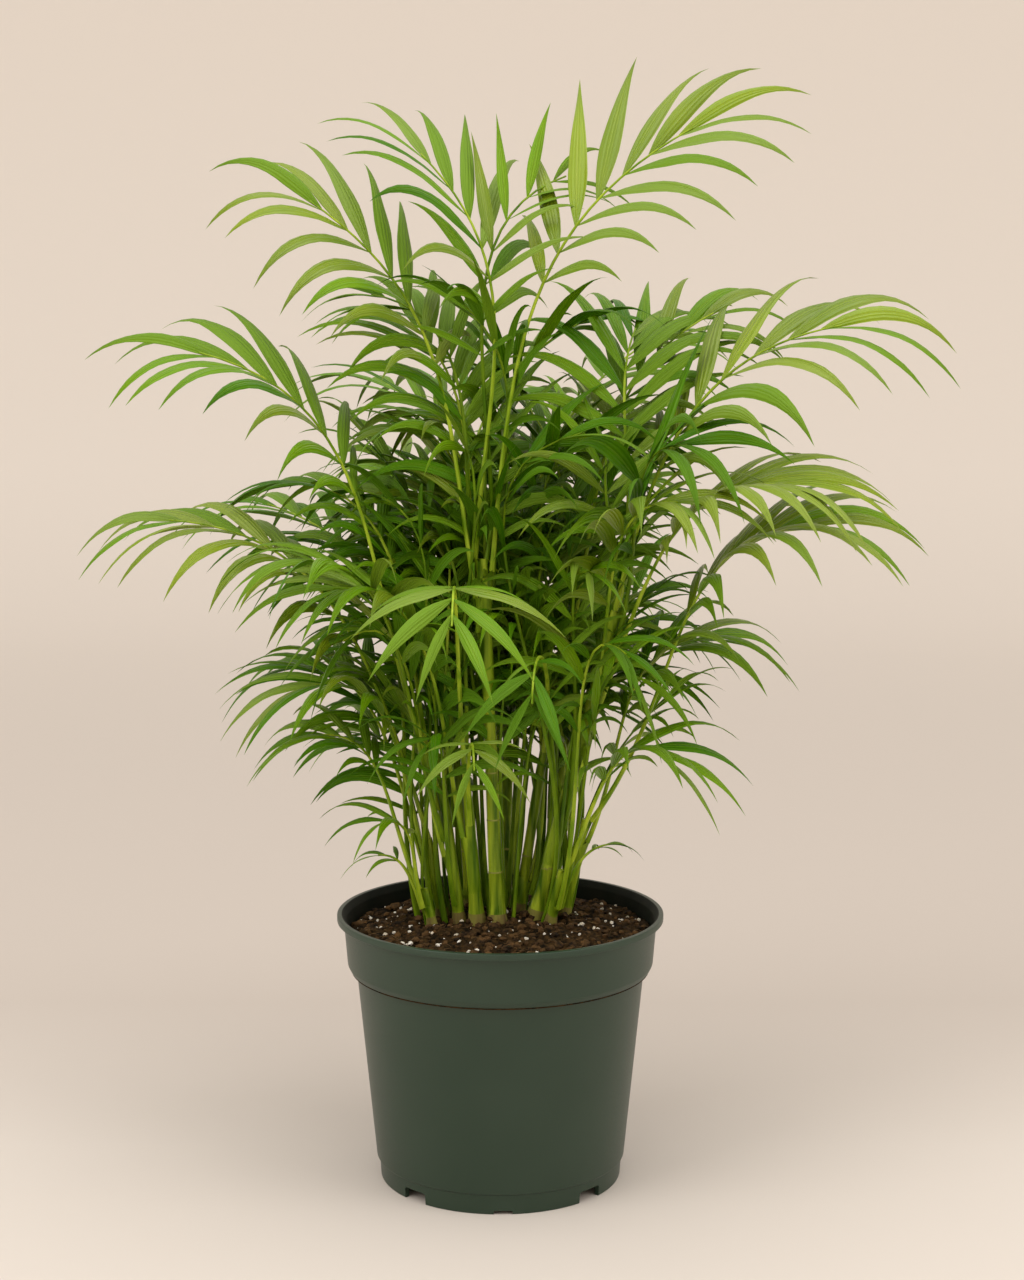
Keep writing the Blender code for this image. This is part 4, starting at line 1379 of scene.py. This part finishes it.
@dataclass
class Crown:
    """All fronds: sheaths and stalks that grow from the canes, ribs and leaflets."""

    shape: LeafletShape
    rib_sides: int = 7
    rib_rows: int = 26
    sheath_rows: int = 8
    sheath_sides: int = 14
    rib_groove: float = 0.22
    sheath_length: tuple[float, float] = (0.040, 0.070)
    sheath_skin: float = 0.0004
    sheath_layer: float = 0.0001
    sheath_notch: float = 0.20
    fan_power: float = 1.2
    tone_shifts: tuple[float, float, float] = (0.14, 0.64, 0.22)
    play: Play = Play()
    beside: Beside = Beside()
    shoot: Shoot = Shoot()
    seed: int = 23

    def tier_fronds(self, canes: dict[str, Cane]) -> list[Frond]:
        """Deals out each storey's fronds over its canes, with seeded sizes.

        Args:
            canes: The canes by name.

        Returns:
            The fronds, in the source's order.
        """
        dice = random.Random(TIER_SEED)
        fronds = []
        for tier in TIERS:
            for i in range(tier.count):
                cane = canes[tier.canes[i % len(tier.canes)]]
                low, high = cane.FOOT_Z - Spine.GAP, cane.top[2]
                height = low + (high - low) * dice.uniform(*tier.share)
                if tier.leads and i < len(tier.canes):
                    height = high
                first, last = tier.azimuths
                azimuth = first + (last - first) * (i + 0.5) / tier.count
                azimuth += dice.uniform(-TIER_AZIMUTH_PLAY, TIER_AZIMUTH_PLAY)
                name = f"{tier.name}_{i + 1}"
                fronds.append(Frond(
                    name, cane.name, height, azimuth,
                    dice.uniform(*tier.reach), dice.uniform(*tier.rise), dice.uniform(*TIER_LEAN),
                    dice.uniform(*tier.slope), tier.blade, tier.pairs, dice.uniform(*tier.leaf),
                    dice.uniform(-TIER_ROLL, TIER_ROLL), tone=tier.tones[i % len(tier.tones)],
                    unrest=tier.unrest,
                ))
        return fronds

    @staticmethod
    def turned(frond: Frond) -> Frond:
        """Gives a frond as the source sets it, clear of those before it."""
        turn, up = STALK_TURNS.get(frond.name, (0.0, 0.0))
        return replace(frond, azimuth=frond.azimuth + turn, height=frond.height + up)

    def companions(self, fronds: Sequence[Frond], canes: dict[str, Cane]) -> list[Frond]:
        """Adds smaller fronds beside the inner ones, within the same reach, where the clump is dense.

        Args:
            fronds: The fronds that have solids.
            canes: The canes by name.

        Returns:
            The added fronds.
        """
        dice = random.Random(self.seed)
        rule = self.beside
        more = []
        for frond in fronds:
            cane = canes[frond.cane]
            for i in range(COMPANIONS.get(frond.name.rstrip("_0123456789"), 0)):
                below = min(frond.height, cane.top[2]) - dice.uniform(*rule.below)
                more.append(replace(
                    frond, name=f"{frond.name}_beside_{i + 1}",
                    height=max(cane.FOOT_Z + rule.least_rise, below),
                    azimuth=frond.azimuth + dice.choice((-1, 1)) * dice.uniform(*rule.turn),
                    reach=frond.reach * dice.uniform(*rule.reach),
                    rise=frond.rise * dice.uniform(*rule.rise),
                    slope=frond.slope - dice.uniform(*rule.drop),
                    leaf=frond.leaf * dice.uniform(*rule.leaf),
                    blade=min(rule.most_blade, frond.blade * dice.uniform(*rule.blade)),
                    roll=frond.roll + dice.uniform(-rule.roll, rule.roll),
                    tone=Tone.DEEP if dice.random() < rule.deep_share else Tone.MIDDLE,
                    unrest=rule.unrest,
                ))
        return more

    def shoots(self, canes: dict[str, Cane]) -> list[tuple[Frond, Vector, Vector]]:
        """Raises young stalks from the mix between the canes.

        Args:
            canes: The canes by name.

        Returns:
            Each shoot as a frond, its foot and the direction in which it sets out.
        """
        dice = random.Random(self.seed + 2)
        rule = self.shoot
        least, near, far = rule.gap
        found = []
        for i in range(rule.count):
            cane = list(canes.values())[i % len(canes)]
            start, _ = cane.axis()
            turn = math.radians(dice.uniform(*rule.turn))
            gap = cane.radius * rule.gap_share + dice.uniform(least, near if i < len(canes) else far)
            foot = start + Vector((math.cos(turn), math.sin(turn), 0.0)) * gap
            foot.z = cane.FOOT_Z - rule.sunk
            side = math.copysign(1.0, foot.x)
            low = foot.y > rule.low_from and i % rule.low_every == 0
            frond = Frond(
                f"shoot_{i + 1}", cane.name, foot.z, 90 - side * dice.uniform(*rule.away),
                dice.uniform(*(rule.low_reach if low else rule.reach)),
                dice.uniform(*(rule.low_rise if low else rule.rise)),
                0.0, dice.uniform(*rule.slope), dice.uniform(*rule.blade), dice.choice(rule.pairs),
                dice.uniform(*rule.leaf), dice.uniform(-rule.roll, rule.roll),
                tone=dice.choice(rule.tones), unrest=rule.unrest, thick=dice.uniform(*rule.thick),
            )
            along = cane.along() + heading(frond.azimuth, 0) * dice.uniform(0, rule.lean)
            found.append((frond, foot, along.normalized()))
        return found

    def foot(self, frond: Frond, cane: Cane) -> tuple[Vector, Vector]:
        """Finds where a frond's stalk begins on its cane and which way it sets out.

        Args:
            frond: The frond.
            cane: Its cane.

        Returns:
            The place and the direction.
        """
        _, end = cane.axis()
        along = cane.along()
        away = heading(frond.azimuth, 0)
        if frond.height >= end.z:
            return end + along * Spine.GAP, heading(frond.azimuth, 90 - frond.lean)
        beside = (away - along * away.dot(along)).normalized()
        clear = cane.girth(frond.height) + Spine.STALK_RADIUS + Spine.GAP
        lean = math.radians(frond.lean)
        place = cane.point(frond.height) + beside * clear
        return place, along * math.cos(lean) + beside * math.sin(lean)

    def rib(self, bm: bmesh.types.BMesh, spine: Spine) -> None:
        """Adds a frond's stalk and rib to a mesh, closed at both ends."""
        last = self.rib_rows

        def place(around: float, along: float) -> Vector:
            row = round(along * last)
            distance = spine.length * min(max(row - 1, 0), last - 2) / (last - 2)
            point, _, right, upper = spine.at(distance)
            if row in (0, last):
                return point
            angle = math.tau * around
            radius = spine.radius(distance)
            groove = 1.0 - self.rib_groove * max(0.0, math.sin(angle)) ** 3
            return point + (right * math.cos(angle) + upper * math.sin(angle) * groove) * radius

        lay_sheet(bm, self.rib_sides, last, place)

    def sheath(
        self, bm: bmesh.types.BMesh, frond: Frond, cane: Cane, rank: int, dice: random.Random
    ) -> None:
        """Adds the tube that clasps the cane below a stalk and opens into it.

        Args:
            bm: The mesh that it joins.
            frond: The frond.
            cane: Its cane.
            rank: How many sheaths of the same cane start higher.
            dice: The seeded source of its length.
        """
        top = min(frond.height, cane.top[2]) + 0.002
        low = max(top - dice.uniform(*self.sheath_length), cane.FOOT_Z + 0.002)
        azimuth = math.radians(frond.azimuth)

        def place(around: float, along: float) -> Vector:
            angle = math.tau * around
            facing = max(0.0, math.cos(angle - azimuth))
            height = low + (top - low) * along * (1.0 - self.sheath_notch * (1.0 - facing))
            skin = self.sheath_skin + self.sheath_layer * min(rank, 4)
            radius = cane.girth(height) + skin * min(1.0, 6.0 * along, 6.0 * (1.02 - along))
            bulge = 2.0 * Spine.STALK_RADIUS * facing ** 4 * along ** 3
            return cane.around(height, angle, radius + bulge)

        lay_sheet(bm, self.sheath_sides, self.sheath_rows, place)

    def leaflets(self, frond: Frond, spine: Spine, dice: random.Random) -> list[tuple[Leaflet, float]]:
        """Lists a frond's leaflets.

        Args:
            frond: The frond.
            spine: Its centre line.
            dice: The seeded source of the leaflets' departures from the rule.

        Returns:
            Each leaflet and its root's distance along the rib.
        """
        found = []
        play = self.play
        wild = frond.unrest
        for k in range(frond.pairs):
            share = k / max(frond.pairs - 1, 1)
            root = spine.bare + (spine.length - spine.bare) * (k + 0.5) / frond.pairs
            fan = frond.fan[0] + (frond.fan[1] - frond.fan[0]) * share ** self.fan_power
            length = frond.leaf * ramp(self.shape.length_shares, share)
            for side in (1, -1):
                found.append((Leaflet(
                    side=side, share=share,
                    length=length * (1.0 + play.length * dice.uniform(-play.shorter * wild, 1.0)),
                    angle=fan + wild * dice.uniform(-play.angle, play.angle),
                    rise=wild * dice.uniform(-play.rise, play.rise),
                    droop=frond.droop * (1.0 + play.droop * wild * dice.uniform(-play.less_droop, 1.0)),
                    twist=wild * dice.uniform(-play.twist, play.twist),
                    wave=dice.uniform(*play.wave), phase=dice.random(),
                    width=dice.uniform(*play.width) - play.narrower * wild * dice.random(),
                ), root + dice.uniform(-play.root, play.root)))
        return found

    def spray(
        self, frond: Frond, spine: Spine, dice: random.Random, blades: dict[Tone, bmesh.types.BMesh]
    ) -> None:
        """Lays a frond's leaflets, nearly all in its own tone and a few in the next ones.

        Args:
            frond: The frond.
            spine: Its centre line.
            dice: The seeded source of what departs from the rule.
            blades: The mesh of each tone.
        """
        tones = list(Tone)
        sprays = {tone: bmesh.new() for tone in Tone}
        for leaf, root in self.leaflets(frond, spine, dice):
            shift = dice.choices((-1, 0, 1), self.tone_shifts)[0]
            tone = tones[min(max(tones.index(frond.tone) + shift, 0), len(tones) - 1)]
            point, forward, right, upper = spine.at(root)
            start = point + right * leaf.side * spine.radius(root) * 0.4
            line = self.shape.line(leaf, start, forward, right, upper)
            self.shape.lay(sprays[tone], leaf, line)
        for tone, spray in sprays.items():
            join_into(blades[tone], spray)

    def build(self) -> None:
        """Makes the crown's pieces, each kind apart, and hands them over."""
        canes = {cane.name: cane for cane in CANES}
        rule = [self.turned(frond) for frond in list(FRONDS) + self.tier_fronds(canes)]
        fronds = rule + self.companions(rule, canes)
        grown = [(frond, *self.foot(frond, canes[frond.cane])) for frond in fronds]
        grown += self.shoots(canes)
        dice = random.Random(self.seed + 1)
        ribs = bmesh.new()
        sheaths = bmesh.new()
        blades = {tone: bmesh.new() for tone in Tone}
        for frond, foot, first in grown:
            spine = Spine(frond, foot, first)
            part = bmesh.new()
            self.rib(part, spine)
            for face in part.faces:
                face.material_index = 0 if frond in rule else 1
            join_into(ribs, part)
            self.spray(frond, spine, dice, blades)
        for frond in rule:
            rank = sum(other.cane == frond.cane and other.height > frond.height for other in rule)
            part = bmesh.new()
            self.sheath(part, frond, canes[frond.cane], rank, dice)
            join_into(sheaths, part)
        nodes = [f"frond_{frond.name}" for frond in rule]
        hand_over(finish_mesh("stalks", ribs, [STALK.material(), STALK_SHADED.material()]), Slot.FROND, nodes)
        sheath_piece = finish_mesh("sheaths", sheaths, [SHEATH.material()], closed=False, crease=60.0)
        hand_over(sheath_piece, Slot.CANE, nodes)
        for tone, blade in blades.items():
            finish = LEAVES[tone]
            piece = finish_mesh(f"leaves_{tone.value}", blade, [finish.material()], closed=False, crease=None)
            hand_over(piece, Slot.FROND, nodes)


@dataclass(frozen=True)
class Lamp:
    """A soft area light: where it hangs, its width and height and its power in watts."""

    name: str
    place: tuple[float, float, float]
    size: tuple[float, float]
    power: float

    COLOUR = (1.0, 0.99, 0.97)
    AIM = (0.0, 0.0, 0.45)

    def hang(self) -> None:
        """Adds the light, turned to the plant."""
        data = bpy.data.lights.new(self.name, "AREA")
        data.shape = "RECTANGLE"
        data.size, data.size_y = self.size
        data.energy = self.power
        data.color = self.COLOUR
        light = bpy.data.objects.new(self.name, data)
        light.location = self.place
        aim = Vector(self.AIM) - Vector(self.place)
        light.rotation_euler = aim.to_track_quat("-Z", "Y").to_euler()
        bpy.context.collection.objects.link(light)


@dataclass
class Studio:
    """A pale floor that curves up into a wall all round, soft light and the camera."""

    paper_roughness: float = 0.9
    paper_specular: float = 0.1
    paper: Colour = (0.665, 0.602, 0.543)
    far_paper: Colour = (0.545, 0.480, 0.425)
    shade_run: tuple[float, float] = (0.05, 0.45)
    glow: Colour = (0.285, 0.262, 0.230)
    glow_run: tuple[float, float] = (0.2, 4.2)
    floor_radius: float = 3.2
    bend: float = 1.6
    wall: float = 1.6
    bend_steps: int = 16
    turn_steps: int = 96
    lamps: tuple[Lamp, ...] = (
        Lamp("left", (-1.9, -1.3, 1.9), (1.6, 1.8), 27.0),
        Lamp("right", (2.1, -1.1, 1.5), (1.6, 1.8), 16.0),
        Lamp("over", (0.2, -0.5, 2.6), (2.2, 1.8), 25.0),
    )
    room_colour: Colour = (1.0, 0.975, 0.945)
    room_strength: float = 0.80
    camera_place: tuple[float, float, float] = (0.0091, -1.675, 0.640)
    camera_down: float = 7.4
    focal_pixels: float = 2200.0
    frame_height: float = 1280.0
    sensor: float = 36.0

    def backdrop(self) -> None:
        """Turns the floor, its bend and the wall about the plant."""
        profile = [(0.0, 0.0)]
        for i in range(self.bend_steps + 1):
            turn = math.pi / 2 * i / self.bend_steps
            radius = self.floor_radius + self.bend * math.sin(turn)
            profile.append((radius, self.bend * (1.0 - math.cos(turn))))
        profile.append((self.floor_radius + self.bend, self.bend + self.wall))
        bm = bmesh.new()
        verts = [bm.verts.new((radius, 0.0, z)) for radius, z in profile]
        edges = [bm.edges.new(pair) for pair in zip(verts, verts[1:])]
        bmesh.ops.spin(
            bm, geom=verts + edges, cent=(0, 0, 0), axis=(0, 0, 1), angle=math.tau,
            steps=self.turn_steps, use_merge=True, use_duplicate=False,
        )
        material = bpy.data.materials.new("paper")
        material.use_nodes = True
        nodes = Nodes(material.node_tree)
        shader = material.node_tree.nodes["Principled BSDF"]
        shader.inputs["Roughness"].default_value = self.paper_roughness
        shader.inputs["Specular IOR Level"].default_value = self.paper_specular
        shader.inputs["Emission Strength"].default_value = 1.0
        place = nodes.add("TexCoord").outputs["Object"]
        split = nodes.add("SeparateXYZ")
        nodes.join(place, split.inputs[0])
        behind = nodes.between(split.outputs["Y"], *self.shade_run)
        nodes.join(nodes.mixed(behind, self.paper, self.far_paper), shader.inputs["Base Color"])
        away = nodes.add("VectorMath", operation="LENGTH")
        nodes.join(place, away.inputs[0])
        far = nodes.between(away.outputs["Value"], *self.glow_run)
        nodes.join(nodes.mixed(far, (0.0, 0.0, 0.0), self.glow), shader.inputs["Emission Color"])
        floor = finish_mesh("backdrop", bm, [material], closed=False)

    def light(self) -> None:
        """Sets the lamps and the room's even light."""
        for lamp in self.lamps:
            lamp.hang()
        world = bpy.data.worlds.new("room")
        world.use_nodes = True
        background = world.node_tree.nodes["Background"]
        background.inputs["Color"].default_value = (*self.room_colour, 1.0)
        background.inputs["Strength"].default_value = self.room_strength
        bpy.context.scene.world = world
        bpy.context.scene.view_settings.view_transform = "Standard"

    def camera(self) -> None:
        """Sets the camera at the photograph's viewpoint."""
        data = bpy.data.cameras.new("view")
        data.sensor_fit = "VERTICAL"
        data.sensor_height = self.sensor
        data.lens = self.sensor * self.focal_pixels / self.frame_height
        camera = bpy.data.objects.new("view", data)
        camera.location = self.camera_place
        camera.rotation_euler = (math.radians(90.0 - self.camera_down), 0.0, 0.0)
        bpy.context.collection.objects.link(camera)
        bpy.context.scene.camera = camera

    def build(self) -> None:
        """Sets up the whole studio."""
        self.backdrop()
        self.light()
        self.camera()


def main() -> None:
    """Builds the plant's sub-assemblies and the studio in order."""
    logging.basicConfig(level=logging.INFO, format="%(message)s")
    pot = Pot()
    pot.build()
    PottingMix().build(pot)
    CaneBark().build()
    Crown(LeafletShape()).build()
    Studio().build()


if __name__ == "__main__":
    main()
